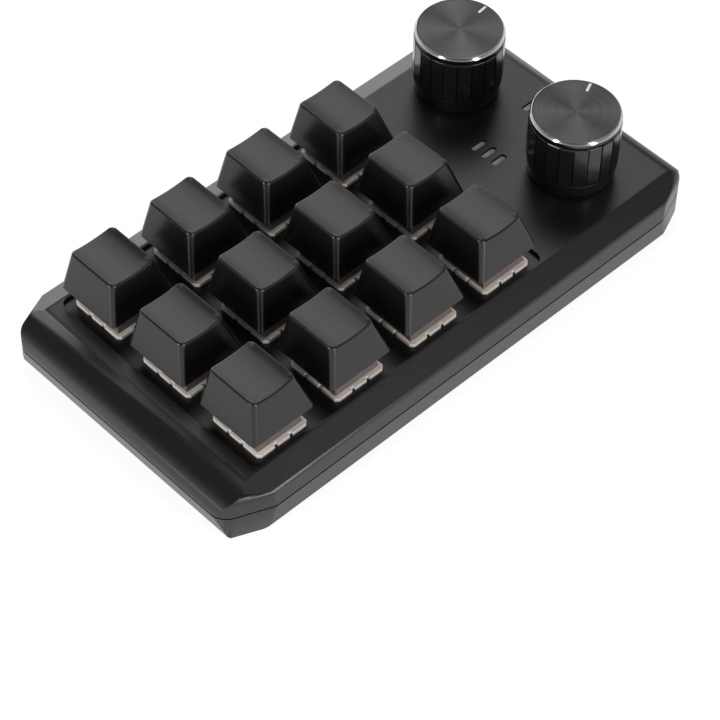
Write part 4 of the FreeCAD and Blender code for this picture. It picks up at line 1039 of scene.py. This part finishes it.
def repeat_small_part(node, name, material, width):
    """One rounded solid of a node, copied to all its places, as one piece."""
    whole = join_patches(node)
    solids = separate_solids(whole)
    centres = []
    for numbers in solids:
        corners = [whole.vertices[number].co for number in numbers]
        lows = Vector(min(corner[axis] for corner in corners) for axis in range(3))
        highs = Vector(max(corner[axis] for corner in corners) for axis in range(3))
        centres.append((lows + highs) / 2)
    kept = set(solids[0])
    shape = bmesh.new()
    shape.from_mesh(whole)
    spare = [vertex for vertex in shape.verts if vertex.index not in kept]
    bmesh.ops.delete(shape, geom=spare, context="VERTS")
    bmesh.ops.translate(shape, vec=-centres[0], verts=shape.verts)
    shape.to_mesh(whole)
    shape.free()
    template = round_edges(new_piece(f"{name}_template", whole, material), width)
    points = bpy.data.meshes.new(name)
    points.from_pydata(centres, [], [])
    piece = grow(name, COPIES_TREE, points, {"Template": template}, material)
    bpy.data.objects.remove(template)
    return stand_for(piece, node)


# %% Screws, feet, pins and lamps
COPIES_TREE = make_copies_tree()
repeat_small_part("case_screws", "screws", screw_steel, 0.08 * MM)
repeat_small_part("rubber_feet", "feet", foot_rubber, 0.25 * MM)
repeat_small_part("switch_pins", "pins", contact_brass, 0.05 * MM)
repeat_small_part("indicator_leds", "lamps", lamp_white, 0.08 * MM)

# %% [markdown]
# ## Stage and light
# A plain white floor under soft studio light. Black plastic shows what it
# reflects, so the lamps are large panels placed where the deck, the bevels and the
# keycaps mirror them, and the sky darkens towards the top so the rolled end stays
# nearly black.

# %% Floor
FLOOR_RADIUS = 4.0


def make_floor_material():
    """White to the camera and in reflections, with the object's soft shadow kept."""
    made, tree, shader = new_material("floor_white", (0.9, 0.9, 0.9), 0.9)
    out = tree.nodes["Material Output"]
    glow = add(tree, "ShaderNodeEmission", {"Color": (1.0, 1.0, 1.0, 1.0), "Strength": 1.12})
    path = add(tree, "ShaderNodeLightPath")
    seen = calc(tree, "MAXIMUM", path.outputs["Is Camera Ray"], path.outputs["Is Glossy Ray"])
    seen = calc(tree, "MAXIMUM", seen, path.outputs["Is Transmission Ray"])
    share = calc(tree, "MULTIPLY", seen, 0.8)
    ends = {0: share, 1: shader.outputs["BSDF"], 2: glow.outputs["Emission"]}
    mix = add(tree, "ShaderNodeMixShader", ends)
    tree.links.new(mix.outputs["Shader"], out.inputs["Surface"])
    return made


floor_shape = bmesh.new()
bmesh.ops.create_circle(floor_shape, cap_ends=True, segments=64, radius=FLOOR_RADIUS)
floor_mesh = bpy.data.meshes.new("floor")
floor_shape.to_mesh(floor_mesh)
floor_shape.free()
floor = new_piece("floor", floor_mesh, make_floor_material())
print("floor", floor.dimensions.x)

# %% Sky
world = bpy.data.worlds.new("studio")
bpy.context.scene.world = world
world.use_nodes = True
sky = world.node_tree
background = sky.nodes["Background"]
direction = add(sky, "ShaderNodeTexCoord").outputs["Generated"]
height = add(sky, "ShaderNodeSeparateXYZ", {"Vector": direction}).outputs["Z"]
fade = add(sky, "ShaderNodeValToRGB", {"Fac": height})
fade.color_ramp.elements[0].position = 0.1
fade.color_ramp.elements[0].color = (1.0, 1.0, 1.0, 1.0)
fade.color_ramp.elements[1].position = 0.6
fade.color_ramp.elements[1].color = (0.12, 0.12, 0.12, 1.0)
sky.links.new(fade.outputs["Color"], background.inputs["Color"])
background.inputs["Strength"].default_value = 1.0
print("sky", world.name)


# %% Lamps
LAMP_DISTANCE = 0.9


def add_panel(name, aim, width, height, power):
    """A soft rectangular lamp in a direction from the object, facing it."""
    data = bpy.data.lights.new(name, "AREA")
    data.shape = "RECTANGLE"
    data.size = width
    data.size_y = height
    data.energy = power
    lamp = bpy.data.objects.new(name, data)
    bpy.context.scene.collection.objects.link(lamp)
    away = Vector(aim).normalized()
    lamp.location = away * LAMP_DISTANCE
    lamp.rotation_mode = "QUATERNION"
    lamp.rotation_quaternion = away.to_track_quat("Z", "Y")


add_panel("deck_panel", (0.44, 0.47, 0.76), 0.5, 0.5, 1.47)
add_panel("back_panel", (0.44, 0.87, 0.24), 0.6, 0.3, 1.5)
add_panel("bevel_panel", (0.33, -0.22, 0.87), 0.3, 0.3, 0.36)
add_panel("left_strip", (-0.94, -0.02, 0.345), 0.1, 0.64, 4.5)
add_panel("front_strip", (-0.02, -0.94, 0.345), 0.1, 0.64, 4.5)
print("lamps", len(bpy.data.lights))

# %% [markdown]
# ## Finish
# The remaining CAD nodes keep their own meshes and take their finishes here.

# %% Finishes for the other nodes
FINISHES = {
    "circuit_board": board_laminate,
    "controller_chip": chip_epoxy,
    "usb_inlet": inlet_steel,
    "indicator_windows": window_plastic,
}
for side in POINTER_ANGLES:
    FINISHES[f"knob_pointer_{side}"] = pointer_white
    FINISHES[f"encoder_shaft_{side}"] = shaft_steel
    FINISHES[f"encoder_base_{side}"] = encoder_metal
    FINISHES[f"encoder_plunger_{side}"] = stem_plastic
for node, material in FINISHES.items():
    for holder in frame["nodes"][node].material_slots:
        holder.material = material
print("finished nodes", len(FINISHES))

# %% Colour view
bpy.context.scene.view_settings.view_transform = "Standard"
